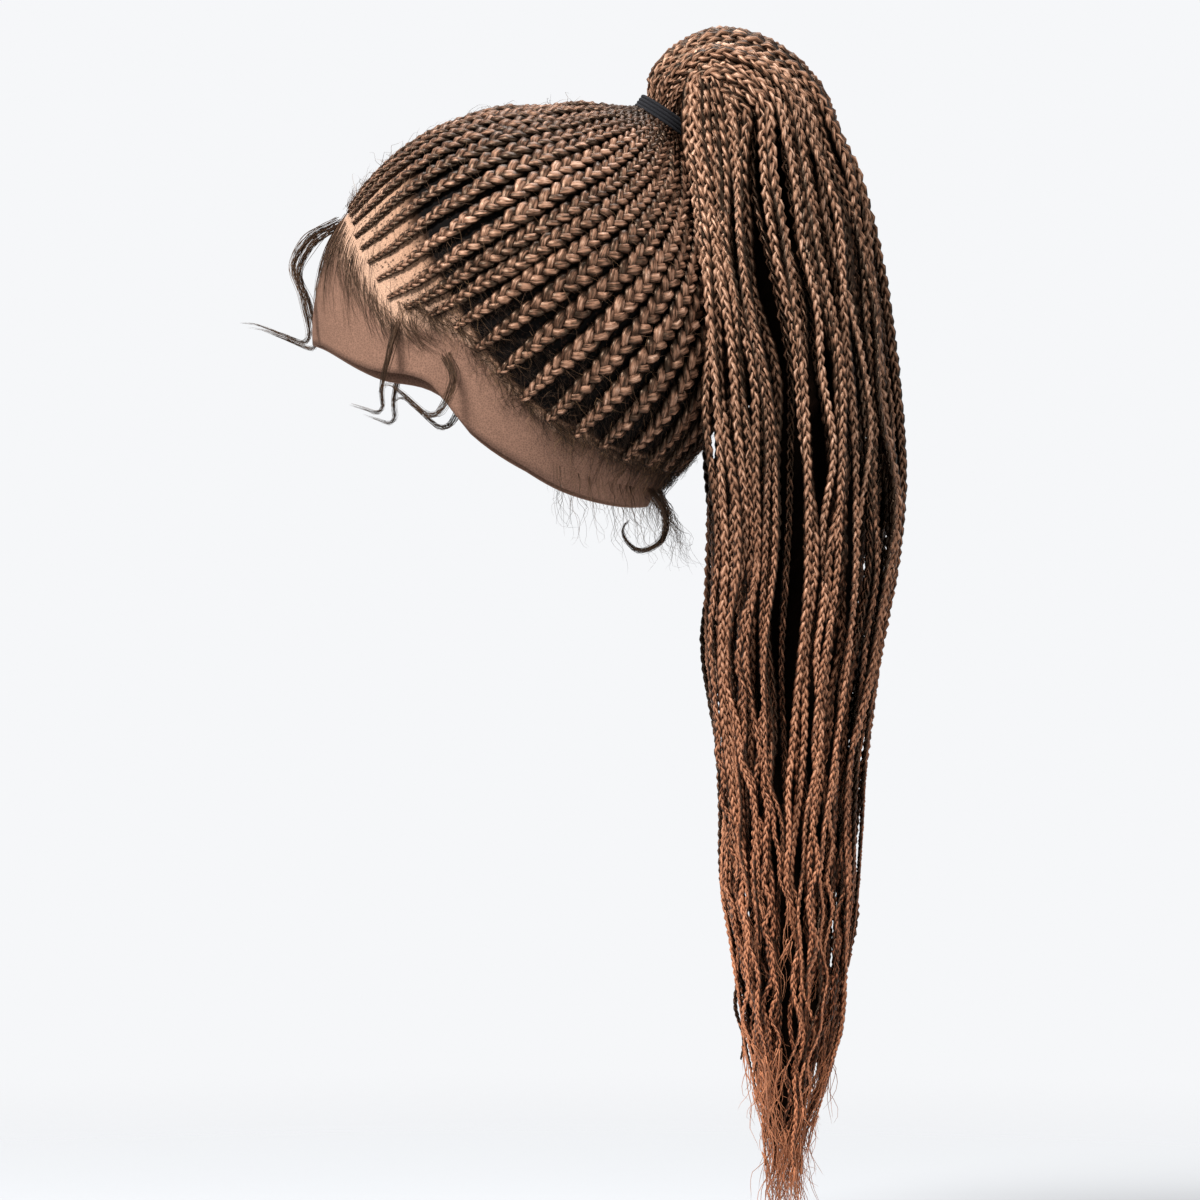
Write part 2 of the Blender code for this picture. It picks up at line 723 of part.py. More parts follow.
def main():
    for old in list(bpy.data.objects):
        bpy.data.objects.remove(old)
    wig = bpy.data.collections.new("braid_wig")
    cutters = bpy.data.collections.new("joined_ends")
    for collection in (wig, cutters):
        bpy.context.scene.collection.children.link(collection)
    build_lace_cap(new_material("lace", LACE_COLOUR, 0.80), wig)
    build_rows(new_material("braid_hair", BRAID_COLOUR, 0.45), wig)
    build_elastic_band(new_material("elastic", ELASTIC_COLOUR, 0.60), wig)
    build_ponytail(new_material("ponytail_hair", ENDS_COLOUR, 0.45), wig, cutters)
    build_baby_hair(new_material("baby_hair", BABY_COLOUR, 0.50), wig)


main()
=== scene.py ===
# %% [markdown]
# # A braid wig, strand by strand
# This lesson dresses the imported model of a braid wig: a lace cap, rows plaited back over it, an elastic band
# and a long ponytail of thin braids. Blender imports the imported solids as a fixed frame, and each piece made
# here lies where its solid lies. All lengths are in metres. The wearer faces -Y, and +X is the wearer's left.

import bmesh
import bpy
import numpy as np
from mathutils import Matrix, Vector
from numpy import cos, degrees, pi, radians, sin


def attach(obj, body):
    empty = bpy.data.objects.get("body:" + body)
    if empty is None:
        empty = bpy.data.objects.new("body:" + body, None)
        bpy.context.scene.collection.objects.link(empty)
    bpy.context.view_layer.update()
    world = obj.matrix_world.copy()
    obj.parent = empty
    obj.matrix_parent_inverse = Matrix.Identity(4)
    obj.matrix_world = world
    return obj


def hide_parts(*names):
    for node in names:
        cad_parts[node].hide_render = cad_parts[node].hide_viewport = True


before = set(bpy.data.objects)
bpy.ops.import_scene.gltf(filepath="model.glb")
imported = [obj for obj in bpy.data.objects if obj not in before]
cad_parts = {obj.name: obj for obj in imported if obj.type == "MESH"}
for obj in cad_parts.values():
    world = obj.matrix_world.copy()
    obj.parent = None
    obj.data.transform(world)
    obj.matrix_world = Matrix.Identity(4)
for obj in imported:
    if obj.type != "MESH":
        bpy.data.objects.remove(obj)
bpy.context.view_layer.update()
draws = np.random.default_rng(7)
print("solids in the frame:", len(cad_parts))

# %% [markdown]
# ## The sizes that the pieces share
# Every piece follows the head's form, so the head's sizes come first. They are the ones that the solids were
# built from. A size that belongs to one piece alone comes with that piece, further down.

# %% Head, rows and tie
HEAD_HALF_WIDTH = 0.0760
HEAD_FRONT = 0.0940
HEAD_BACK = 0.0900
HEAD_MIDDLE_BACK = -0.0090
CROWN_HEIGHT = 0.0970
NAPE_DROP = 0.0780
CAP_WALL = 0.0015
WHOLE_HEIGHT = CROWN_HEIGHT + NAPE_DROP
NAPE_POLAR = radians(135)
HEAD_CENTRE = np.array((0.0, HEAD_MIDDLE_BACK, -CROWN_HEIGHT))

ROWS_PER_SIDE = 22
ROW_START_WIDTH = 0.0018
ROW_FULL_WIDTH = 0.0098
ROW_GROWTH = 0.0850
GROWTH_POWER = 0.8
ROW_START_THICKNESS = 0.0014
ROW_THICKNESS = 0.0047
GATHER_RADIUS = 0.0270
GATHER_LIFT = 0.0050
GATHER_RUN = 0.0260

TIE_POLAR = radians(35)
TIE_HEIGHT = 0.0200
NECK_RADIUS = 0.0127
BAND_INNER = NECK_RADIUS + 0.0004
BAND_OUTER = BAND_INNER + 0.0026
BAND_WIDTH = 0.0064
BAND_RIDGES = 4

ARCH_RISE = 0.0410
PONYTAIL_REACH = 0.1100
PONYTAIL_DROP = 0.4700
PONYTAIL_HALF_WIDTH = 0.0500
RIM_CLEARANCE = 0.0022
PLUME_CLEARANCE = 0.0022
LOCKS = 18
LOCK_GROOVE = 0.09

# %% [markdown]
# ## Tables of the form
# A real cap is sewn on a block, and its edge is cut by eye. Here the block's lower half, the lace's edge and
# the hairline are short tables of shares, and a cubic curve runs smoothly through each column.

# %% Tables of shares
LOWER_HEAD = (
    (0.00, 1.000, 1.000, 1.000),
    (0.30, 0.980, 0.985, 0.970),
    (0.54, 0.925, 0.940, 0.880),
    (0.76, 0.825, 0.860, 0.735),
    (0.87, 0.765, 0.810, 0.655),
    (1.00, 0.720, 0.770, 0.590),
)
LACE_EDGE = (
    (0, 0.577),
    (20, 0.590),
    (45, 0.655),
    (64, 0.690),
    (74, 0.800),
    (90, 0.893),
    (110, 0.955),
    (140, 0.988),
    (180, 0.990),
)
HAIRLINE = (
    (0, 0.222),
    (10, 0.245),
    (24, 0.276),
    (30, 0.312),
    (40, 0.372),
    (47, 0.433),
    (53, 0.488),
    (63, 0.520),
    (73, 0.560),
    (83, 0.664),
    (95, 0.770),
    (108, 0.820),
    (127, 0.870),
    (158, 0.893),
    (180, 0.898),
)
ROW_SWEEP = (
    (0.00, 0, 0, 0.65, 1.00, 1.00),
    (0.17, 22, 40, 0.65, 1.00, 1.00),
    (0.39, 53, 86, 0.70, 0.80, 1.10),
    (0.52, 75, 110, 0.95, 0.50, 1.70),
    (0.65, 100, 129, 1.10, 0.38, 2.20),
    (0.82, 136, 152, 1.10, 0.38, 2.20),
    (1.00, 180, 180, 1.00, 0.40, 2.20),
)


def table_value(table, keys, column):
    """A smooth value between a table's rows: cubic, with slopes from the rows on both sides."""
    rows = np.array(table, float)
    x, y = rows[:, 0], rows[:, column]
    keys = np.clip(np.asarray(keys, float), x[0], x[-1])
    low = np.clip(np.searchsorted(x, keys, side="right") - 1, 0, len(x) - 2)
    before = np.maximum(low - 1, 0)
    after = np.minimum(low + 2, len(x) - 1)
    span = x[low + 1] - x[low]
    slope_low = (y[low + 1] - y[before]) / (x[low + 1] - x[before])
    slope_high = (y[after] - y[low]) / (x[after] - x[low])
    t = (keys - x[low]) / span
    return ((2 * t**3 - 3 * t**2 + 1) * y[low] + (t**3 - 2 * t**2 + t) * span * slope_low
            + (3 * t**2 - 2 * t**3) * y[low + 1] + (t**3 - t**2) * span * slope_high)


def smooth_step(value):
    """0 below 0, 1 above 1, and a smooth rise between."""
    t = np.clip(value, 0.0, 1.0)
    return t * t * (3 - 2 * t)


# %% [markdown]
# ## The head's form as functions
# An angle round from the front and an angle down from the crown name any place on the cap. One function gives
# the point, and a second its outward direction, so that hair can be laid on the cap or lifted off it.

# %% Points and directions on the cap
def unit(vectors):
    """Vectors made one long."""
    return vectors / np.maximum(np.linalg.norm(vectors, axis=-1, keepdims=True), 1e-12)


def polar_at_depth(share):
    """The angle down from the crown of a level given as a share of the whole height."""
    depth = np.asarray(share, float) * WHOLE_HEIGHT
    upper = pi / 2 - np.arcsin(np.clip(1 - depth / CROWN_HEIGHT, -1, 1))
    lower = pi / 2 + (NAPE_POLAR - pi / 2) * (depth - CROWN_HEIGHT) / NAPE_DROP
    return np.where(depth <= CROWN_HEIGHT, upper, lower)


def inner_point(azimuth, polar):
    """A point on the head."""
    azimuth, polar = np.broadcast_arrays(np.asarray(azimuth, float), np.asarray(polar, float))
    share = (polar - pi / 2) / (NAPE_POLAR - pi / 2)
    below = polar > pi / 2
    side, front, back = (np.where(below, table_value(LOWER_HEAD, share, column), sin(polar))
                         for column in (1, 2, 3))
    length = np.where(cos(azimuth) > 0, HEAD_FRONT * front, HEAD_BACK * back)
    height = np.where(below, -NAPE_DROP * share, CROWN_HEIGHT * cos(polar))
    place = (HEAD_HALF_WIDTH * side * sin(azimuth), -length * cos(azimuth), height)
    return HEAD_CENTRE + np.stack(place, -1)


def head_normal(azimuth, polar):
    """The head's outward direction, from points a little to each side."""
    step = 0.02
    polar = np.maximum(polar, step)
    along = inner_point(azimuth, polar + step) - inner_point(azimuth, polar - step)
    around = inner_point(azimuth + step, polar) - inner_point(azimuth - step, polar)
    return unit(np.cross(along, around))


def cap_point(azimuth, polar, lift=0.0):
    """A point over the cap's outer face, raised by lift."""
    raised = np.asarray(CAP_WALL + lift)[..., None]
    return inner_point(azimuth, polar) + head_normal(azimuth, polar) * raised


def angles_of(direction):
    """The two angles of a direction from the head's centre."""
    towards = unit(np.asarray(direction, float))
    height = np.clip(towards[..., 2], -1, 1)
    return np.arctan2(towards[..., 0], -towards[..., 1]), pi / 2 - np.arcsin(height)


TIE_FOOT = cap_point(pi, TIE_POLAR)
TIE_AXIS = np.array((0.0, sin(TIE_POLAR), cos(TIE_POLAR)))
TIE_FRONT = np.array((0.0, -cos(TIE_POLAR), sin(TIE_POLAR)))
TIE_SIDE = np.array((1.0, 0.0, 0.0))
BAND_CENTRE = TIE_FOOT + TIE_AXIS * TIE_HEIGHT


def gather_direction(turn, spread):
    """A direction from the head's centre: turn round the tie from its front, spread away from it."""
    turn, spread = (np.asarray(angle, float)[..., None] for angle in (turn, spread))
    around = TIE_FRONT * cos(turn) + TIE_SIDE * sin(turn)
    return TIE_AXIS * cos(spread) + around * sin(spread)


def hair_height(points):
    """How high the rows stand off the cap: their thickness and their rise to the tie."""
    distance = np.linalg.norm(points - TIE_FOOT, axis=-1)
    return ROW_THICKNESS + GATHER_LIFT * smooth_step((GATHER_RADIUS + GATHER_RUN - distance) / GATHER_RUN)


def spread_where(turn, low, high, is_near):
    """Halves the span from low to high until it meets the place where is_near stops being true."""
    for _ in range(24):
        middle = (low + high) / 2
        low, high = (middle, high) if is_near(turn, middle) else (low, middle)
    return low


def within_gather(turn, spread, radius=GATHER_RADIUS):
    """True where the cap is nearer to the tie's foot than a radius."""
    return np.linalg.norm(cap_point(*angles_of(gather_direction(turn, spread))) - TIE_FOOT) < radius


def above_hairline(turn, spread):
    """True where the cap is above the hairline."""
    azimuth, polar = angles_of(gather_direction(turn, spread))
    return polar < polar_at_depth(table_value(HAIRLINE, abs(degrees(azimuth)), 1))


print("band's middle in mm:", np.round(BAND_CENTRE * 1000, 1))

# %% [markdown]
# ## Camera, floor and light
# The wig was photographed from its left side with a long lens at the level of the ponytail's middle, in soft
# light from all round with a brighter side towards the camera. A pale world gives the even light. Three
# large area lights add the gloss that tells plaited hair from cloth.

# %% The camera and the stage
VIEW_WIDTH = 0.540
VIEW_CENTRE = Vector((0.0, 0.025, -0.216))
VIEW_DISTANCE = 2.4
SENSOR_WIDTH = 0.036
FLOOR_LEVEL = -0.540
FLOOR_RADIUS = 1.6

camera = bpy.data.objects.new("camera", bpy.data.cameras.new("camera"))
camera.data.sensor_width = SENSOR_WIDTH * 1000
camera.data.lens = SENSOR_WIDTH * VIEW_DISTANCE / VIEW_WIDTH * 1000
camera.location = VIEW_CENTRE + Vector((VIEW_DISTANCE, 0.0, 0.0))
camera.rotation_euler = (pi / 2, 0.0, pi / 2)
bpy.context.scene.collection.objects.link(camera)
bpy.context.scene.camera = camera
bpy.context.scene.view_settings.view_transform = "Standard"


def linear(code):
    """A colour from its sRGB hex code to the linear values that Blender's shaders take."""
    shares = [int(code[i:i + 2], 16) / 255 for i in (1, 3, 5)]
    return (*(s / 12.92 if s <= 0.04045 else ((s + 0.055) / 1.055) ** 2.4 for s in shares), 1.0)


def add_node(tree, kind, settings, links=()):
    """Adds a node to a tree, sets its properties and input values, and links sockets into its inputs."""
    node = tree.nodes.new(kind)
    for name, value in settings.items():
        if name == "stops":
            ramp = node.color_ramp.elements
            while len(ramp) < len(value):
                ramp.new(0.5)
            for element, (place, code) in zip(ramp, value):
                element.position = place
                element.color = linear(code)
        elif isinstance(name, int) or name in node.inputs:
            node.inputs[name].default_value = value
        else:
            setattr(node, name, value)
    for name, socket in dict(links).items():
        tree.links.new(socket, node.inputs[name])
    return node


def new_material(name):
    """A material with its shader, and the tree that the pattern's nodes go in."""
    material = bpy.data.materials.new(name)
    material.use_nodes = True
    return material, material.node_tree, material.node_tree.nodes["Principled BSDF"]


# The world is pale where it is looked at, and gives only a third of that as light, so that gaps stay dark
WORLD_LIGHT = 0.34
world = bpy.data.worlds.new("pale_studio")
world.use_nodes = True
tree = world.node_tree
tree.nodes["Background"].inputs["Color"].default_value = linear("#f6f7f9")
rays = add_node(tree, "ShaderNodeLightPath", {})
seen = add_node(tree, "ShaderNodeMapRange", {"To Min": WORLD_LIGHT, "To Max": 1.0},
                {"Value": rays.outputs["Is Camera Ray"]})
tree.links.new(seen.outputs["Result"], tree.nodes["Background"].inputs["Strength"])
bpy.context.scene.world = world

# Name, place, size in metres and power in watts
LIGHTS = (
    ("key_light", (1.7, -1.3, 1.7), 0.7, 132.0),
    ("fill_light", (1.8, 1.4, 0.4), 1.2, 19.0),
    ("top_light", (-0.5, 0.2, 1.8), 1.2, 30.0),
)
for name, place, size, power in LIGHTS:
    light = bpy.data.objects.new(name, bpy.data.lights.new(name, "AREA"))
    light.data.size = size
    light.data.energy = power
    light.location = place
    light.rotation_euler = (VIEW_CENTRE - light.location).to_track_quat("-Z", "Y").to_euler()
    bpy.context.scene.collection.objects.link(light)

# The floor is matt studio paper. It fades out with distance, so that it meets the world without a line.
paper, tree, shader = new_material("matt studio paper")
shader.inputs["Base Color"].default_value = linear("#c8cacd")
shader.inputs["Roughness"].default_value = 0.9
place = add_node(tree, "ShaderNodeTexCoord", {})
far = add_node(tree, "ShaderNodeVectorMath", {"operation": "LENGTH"}, {0: place.outputs["Object"]})
fade = add_node(tree, "ShaderNodeMapRange",
                {"From Min": 0.2, "From Max": 1.3, "To Min": 1.0, "To Max": 0.0,
                 "interpolation_type": "SMOOTHSTEP"}, {"Value": far.outputs["Value"]})
tree.links.new(fade.outputs["Result"], shader.inputs["Alpha"])
bm = bmesh.new()
bmesh.ops.create_circle(bm, cap_ends=True, segments=64, radius=FLOOR_RADIUS)
floor = bpy.data.objects.new("floor", bpy.data.meshes.new("floor"))
bm.to_mesh(floor.data)
bm.free()
floor.data.materials.append(paper)
floor.location = (0.0, 0.0, FLOOR_LEVEL)
bpy.context.scene.collection.objects.link(floor)
print("lens in mm:", round(camera.data.lens, 1))

# %% [markdown]
# ## Hair fibre
# Such braids are plaited from modacrylic fibre, a soft synthetic with a low sheen. Each strand is hundreds of
# parallel fibres, so its surface is drawn as fine streaks along the strand with a shallow bump. The lightest
# streaks are painted highlight. A fibre is 0.06 mm wide, which is too fine to show, so a streak stands for
# about a dozen of them. One attribute, tone, gives each strand its own share of light and dark, and also
# carries painted shade.

# %% The hair materials
STREAK_WIDTH = 0.00075
STREAK_RUN = 0.007
STRAND_GIRTH = 0.0085
STREAK_DEPTH = 0.00024
TONE_REACH = 0.24


def hair_material(name, dark, middle, light, painted_highlight, ends=None, roughness=0.36, gloss=0.55):
    """Modacrylic hair: streaks from dark to a painted highlight, with other colours towards the ends if given.
    """
    material, tree, shader = new_material(name)
    along = add_node(tree, "ShaderNodeUVMap", {"uv_map": "fibres"})
    # The map's first number goes once round the strand, and its second is metres along it
    streak_scale = (STRAND_GIRTH / STREAK_WIDTH, 1 / STREAK_RUN, 1.0)
    laid = add_node(tree, "ShaderNodeMapping", {"Scale": streak_scale}, {"Vector": along.outputs["UV"]})
    streaks = add_node(tree, "ShaderNodeTexNoise", {"Scale": 1.0, "Detail": 4.0, "Roughness": 0.72},
                       {"Vector": laid.outputs["Vector"]})
    tone = add_node(tree, "ShaderNodeAttribute", {"attribute_name": "tone"})
    mixed = add_node(tree, "ShaderNodeMath", {"operation": "MULTIPLY_ADD", 1: TONE_REACH},
                     {0: tone.outputs["Fac"], 2: streaks.outputs["Fac"]})
    shade = add_node(tree, "ShaderNodeMath", {"operation": "SUBTRACT", 1: TONE_REACH / 2},
                     {0: mixed.outputs["Value"]})
    # The bright stop, and in part the light one, are painted highlight over the fibre's own browns
    colours = add_node(tree, "ShaderNodeValToRGB",
                       {"stops": [(0.39, dark), (0.51, middle), (0.66, light), (0.80, painted_highlight)]},
                       {"Fac": shade.outputs["Value"]})
    colour = colours.outputs["Color"]
    if ends:
        end_dark, end_middle, end_light = ends
        lower = add_node(tree, "ShaderNodeValToRGB",
                        {"stops": [(0.37, end_dark), (0.49, end_middle), (0.66, end_light)]},
                        {"Fac": shade.outputs["Value"]})
        place = add_node(tree, "ShaderNodeTexCoord", {})
        split = add_node(tree, "ShaderNodeSeparateXYZ", {}, {"Vector": place.outputs["Object"]})
        low = add_node(tree, "ShaderNodeMapRange", {"From Min": -0.150, "From Max": -0.430},
                       {"Value": split.outputs["Z"]})
        turned = add_node(tree, "ShaderNodeMix", {"data_type": "RGBA"},
                          {0: low.outputs["Result"], 6: colour, 7: lower.outputs["Color"]})
        colour = turned.outputs[2]
    # A few fibres of a blended lot are golden
    rare = add_node(tree, "ShaderNodeMapRange", {"From Min": 0.66, "From Max": 0.74, "To Max": 0.6},
                    {"Value": streaks.outputs["Color"]})
    golden = add_node(tree, "ShaderNodeMix", {"data_type": "RGBA", 7: linear("#9c6a42")},
                      {0: rare.outputs["Result"], 6: colour})
    tree.links.new(golden.outputs[2], shader.inputs["Base Color"])
    raised = add_node(tree, "ShaderNodeBump", {"Strength": 0.7, "Distance": STREAK_DEPTH},
                      {"Height": streaks.outputs["Fac"]})
    tree.links.new(raised.outputs["Normal"], shader.inputs["Normal"])
    shader.inputs["Roughness"].default_value = roughness
    shader.inputs["IOR"].default_value = 1.52
    shader.inputs["Specular IOR Level"].default_value = gloss
    shader.inputs["Specular Tint"].default_value = linear("#f0c8a8")
    return material


# The fourth colour of each is its painted highlight
row_hair = hair_material("plaited modacrylic hair, dark brown",
                         "#090402", "#38241a", "#916a54", "#c9a48d")
pony_hair = hair_material("plaited modacrylic hair, brown to auburn",
                          "#090402", "#38241a", "#946b53", "#cfa88f",
                          ("#170803", "#663422", "#cb855f"))
fine_hair = hair_material("fine loose hair, dark brown", "#130b08", "#35251c", "#725743", "#a5805c",
                          roughness=0.5)
# Near-black throughout: painted shade for the gathered hair at the tie and inside the ponytail
painted_shade_hair = hair_material("gathered hair in shadow", "#0f0906", "#170e0a", "#251812", "#2f2018",
                          roughness=0.9, gloss=0.05)

# %% [markdown]
# ## Lace
# The cap is a fine net of skin-tinted thread, and every hair is knotted into it by hand. The knots are the
# dark dots that show in the partings. Further back the net between the rows is coloured dark brown for the
# dense hair knotted there, and then near-black, which is painted shade deep between the rows. The cap's
# attribute depth says how far a place lies behind the hairline, and the colour follows it.

# %% The lace material
KNOT_SPACING = 0.0021
KNOT_RADIUS = 0.0004
NET_SPACING = 0.0011            # real net is nearer 0.7 mm, which is too fine to show
NET_DEPTH = 0.00020

lace, tree, shader = new_material("hand-knotted net lace, skin tint")
place = add_node(tree, "ShaderNodeTexCoord", {})
depth = add_node(tree, "ShaderNodeAttribute", {"attribute_name": "depth"})
patchy = add_node(tree, "ShaderNodeTexNoise", {"Scale": 120.0, "Detail": 3.0},
                  {"Vector": place.outputs["Object"]})
ragged = add_node(tree, "ShaderNodeMath", {"operation": "MULTIPLY_ADD", 1: 0.16}, {0: patchy.outputs["Fac"],
                                                                                 2: depth.outputs["Fac"]})
# Far behind the hairline the tint goes to dark brown for the dense hair, then near-black as painted shade
tint = add_node(tree, "ShaderNodeValToRGB", {"stops": [
    (0.14, "#8f6c5a"), (0.28, "#cfa78c"), (0.68, "#bd9276"), (0.84, "#3a2619"), (0.92, "#060302"),
]}, {"Fac": ragged.outputs["Value"]})
net = add_node(tree, "ShaderNodeTexVoronoi", {"feature": "DISTANCE_TO_EDGE", "Scale": 1 / NET_SPACING},
               {"Vector": place.outputs["Object"]})
threads = add_node(tree, "ShaderNodeMapRange",
                   {"From Min": 0.02, "From Max": 0.16, "To Min": 1.0, "To Max": 0.66},
                   {"Value": net.outputs["Distance"]})
woven = add_node(tree, "ShaderNodeMix", {"data_type": "RGBA", "blend_type": "MULTIPLY", 0: 1.0},
                 {6: tint.outputs["Color"], 7: threads.outputs["Result"]})
knots = add_node(tree, "ShaderNodeTexVoronoi", {"Scale": 1 / KNOT_SPACING},
                 {"Vector": place.outputs["Object"]})
dots = add_node(tree, "ShaderNodeMapRange",
                {"From Min": KNOT_RADIUS / KNOT_SPACING, "From Max": 1.7 * KNOT_RADIUS / KNOT_SPACING,
                 "To Min": 0.85, "To Max": 0.0}, {"Value": knots.outputs["Distance"]})
behind = add_node(tree, "ShaderNodeMapRange", {"From Min": 0.24, "From Max": 0.29},
                  {"Value": depth.outputs["Fac"]})
knotted = add_node(tree, "ShaderNodeMath", {"operation": "MULTIPLY"}, {0: dots.outputs["Result"],
                                                                     1: behind.outputs["Result"]})
spotted = add_node(tree, "ShaderNodeMix", {"data_type": "RGBA", 7: linear("#2a1a12")},
                   {0: knotted.outputs["Value"], 6: woven.outputs[2]})
tree.links.new(spotted.outputs[2], shader.inputs["Base Color"])
raised = add_node(tree, "ShaderNodeBump", {"Strength": 0.6, "Distance": NET_DEPTH},
                  {"Height": threads.outputs["Result"]})
tree.links.new(raised.outputs["Normal"], shader.inputs["Normal"])
shader.inputs["Roughness"].default_value = 0.85
shader.inputs["Specular IOR Level"].default_value = 0.12

# %% [markdown]
# ## The lace cap
# The cap could be cut from a sphere, but its edge has to dip round the ears. So the rings of a sphere are
# laid again on the head's form, from the crown down to the lace's edge, and Solidify gives them their wall.

# %% Build the cap
CAP_COLUMNS = 128
CAP_RINGS = 56
HAIRLINE_DEPTH = 0.25           # the attribute's value at the hairline
PARTING_DEPTH = 0.50            # and how much more it is where the partings end

# How far behind the hairline the partings show: degrees round from the front, metres
PARTINGS = (
    (0, 0.054),
    (35, 0.054),
    (47, 0.048),
    (58, 0.036),
    (68, 0.018),
    (80, 0.005),
    (180, 0.004),
)


def finish_piece(name, mesh, material, slot, *nodes):
    """Links a mesh as a piece of the wig that stands for solids of the frame."""
    mesh.materials.append(material)
    piece = bpy.data.objects.new(name, mesh)
    bpy.context.scene.collection.objects.link(piece)
    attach(piece, "root")
    if nodes:
        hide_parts(*nodes)
    triangles = sum(len(face.vertices) - 2 for face in mesh.polygons)
    print(f"{name}: {triangles} triangles")
    return piece


def smooth_mesh(bm, name):
    """Turns a finished bmesh, with its faces turned outward, into a smooth mesh."""
    bmesh.ops.recalc_face_normals(bm, faces=bm.faces[:])
    made = bpy.data.meshes.new(name)
    bm.to_mesh(made)
    bm.free()
    made.shade_smooth()
    return made


bm = bmesh.new()
bmesh.ops.create_uvsphere(bm, u_segments=CAP_COLUMNS, v_segments=CAP_RINGS + 1, radius=1.0)
bmesh.ops.delete(bm, geom=[min(bm.verts, key=lambda v: v.co.z)], context="VERTS")
azimuths, polars = angles_of([v.co[:] for v in bm.verts])
edges = polar_at_depth(table_value(LACE_EDGE, abs(degrees(azimuths)), 1))
laid = edges * polars / (pi * CAP_RINGS / (CAP_RINGS + 1))
hairline = polar_at_depth(table_value(HAIRLINE, abs(degrees(azimuths)), 1))
for vert, point in zip(bm.verts, cap_point(azimuths, laid)):
    vert.co = point
mesh = smooth_mesh(bm, "lace_cap")
partings = table_value(PARTINGS, abs(degrees(azimuths)), 1)
behind_hairline = np.clip((hairline - laid) * CROWN_HEIGHT / partings, -0.5, 1.5)
behind_hairline = behind_hairline * PARTING_DEPTH + HAIRLINE_DEPTH
mesh.attributes.new("depth", "FLOAT", "POINT").data.foreach_set("value", behind_hairline.astype(np.float32))
cap = finish_piece("lace_cap_net", mesh, lace, "lace", "lace_cap")
wall = cap.modifiers.new("wall", "SOLIDIFY")
wall.thickness = CAP_WALL
wall.offset = -1.0

# %% [markdown]
# ## Many thin tubes in one mesh
# A braid is three strands, and this wig has some thousands of strands and loose hairs. One object for each
# would be slow, so a bundle gathers the rings of all its tubes as arrays and makes one mesh of them. Each
# tube is closed at both ends. Its map runs once round it and in metres along it, for the streaks.

# %% Bundles, paths and plaits
class Bundle:
    """Gathers tubes, each a stack of rings, and turns them into one mesh."""

    def __init__(self):
        self.points, self.corners, self.sizes, self.maps, self.tones = [], [], [], [], []
        self.count = 0

    def add(self, rings, run, tone):
        """rings has a ring of points for each place along the tube, and run says how far along each is."""
        places, sides = rings.shape[:2]
        across = np.arange(sides)
        after = (across + 1) % sides
        low = self.count + sides * np.arange(places - 1)[:, None]
        quads = np.stack((low + across, low + after, low + sides + after, low + sides + across), -1)
        first = self.count + across[::-1]
        last = self.count + sides * (places - 1) + across
        self.corners += [quads.ravel(), first, last]
        self.sizes += [np.full(quads.shape[0] * sides, 4), np.array((sides, sides))]
        u = np.stack((across, across + 1, across + 1, across), -1) / sides
        v = np.stack((run[:-1], run[:-1], run[1:], run[1:]), -1)
        body = np.stack((np.broadcast_to(u, quads.shape), np.broadcast_to(v[:, None], quads.shape)), -1)
        ends = [np.stack((across / sides, np.full(sides, end)), -1) for end in (run[0], run[-1])]
        self.maps += [body.reshape(-1, 2), *ends]
        self.points.append(rings.reshape(-1, 3))
        self.tones.append(np.broadcast_to(tone, (places, sides)).ravel())
        self.count += places * sides

    def mesh(self, name):
        """The bundle as one smooth mesh with its map and its tones."""
        sizes = np.concatenate(self.sizes)
        made = bpy.data.meshes.new(name)
        made.vertices.add(self.count)
        made.vertices.foreach_set("co", np.concatenate(self.points).astype(np.float32).ravel())
        made.loops.add(int(sizes.sum()))
        made.loops.foreach_set("vertex_index", np.concatenate(self.corners).astype(np.int32))
        made.polygons.add(len(sizes))
        made.polygons.foreach_set("loop_start", (np.cumsum(sizes) - sizes).astype(np.int32))
        made.update(calc_edges=True)
        made.shade_smooth()
        maps = np.concatenate(self.maps).astype(np.float32).ravel()
        made.uv_layers.new(name="fibres").data.foreach_set("uv", maps)
        tones = np.concatenate(self.tones).astype(np.float32)
        made.attributes.new("tone", "FLOAT", "POINT").data.foreach_set("value", tones)
        return made


def lengths_along(path):
    """How far along a path each of its points is."""
    return np.concatenate(([0.0], np.cumsum(np.linalg.norm(np.diff(path, axis=0), axis=1))))


def read_at(path, run, places):
    """The rows of path at given lengths along it."""
    return np.stack([np.interp(places, run, path[:, i]) for i in range(path.shape[1])], -1)


def smooth_path(points, step):
    """A smooth curve through points, read at even steps."""
    rough = lengths_along(points)
    table = np.column_stack((rough, points))
    keys = np.linspace(0.0, rough[-1], max(int(rough[-1] / step), 2) * 2)
    curve = np.stack([table_value(table, keys, column) for column in (1, 2, 3)], -1)
    run = lengths_along(curve)
    return read_at(curve, run, np.linspace(0.0, run[-1], max(int(run[-1] / step), 2)))


def frame_of(path, normals):
    """The directions along a path, out from it and across it."""
    along = unit(np.gradient(path, axis=0))
    out = unit(normals - along * (normals * along).sum(-1, keepdims=True))
    return along, out, np.cross(along, out)


def tube_rings(path, normals, half_widths, half_heights, sides):
    """Oval rings round a path."""
    _, out, across = frame_of(path, normals)
    angles = (2 * pi * np.arange(sides) / sides)[None, :, None]
    return (path[:, None] + across[:, None] * cos(angles) * half_widths[:, None, None]
            + out[:, None] * sin(angles) * half_heights[:, None, None])


# %% [markdown]
# ### A plait of three strands
# In a plait each strand swings from side to side and dips twice as often. Seen from above it crosses over one
# neighbour and then under the other. So a strand's place across the plait is a sine, and its height is a sine
# of twice the angle. Three strands a third of a turn apart never meet. Each side shows one stitch for each
# strand in a full swing, so a swing is three stitches long.

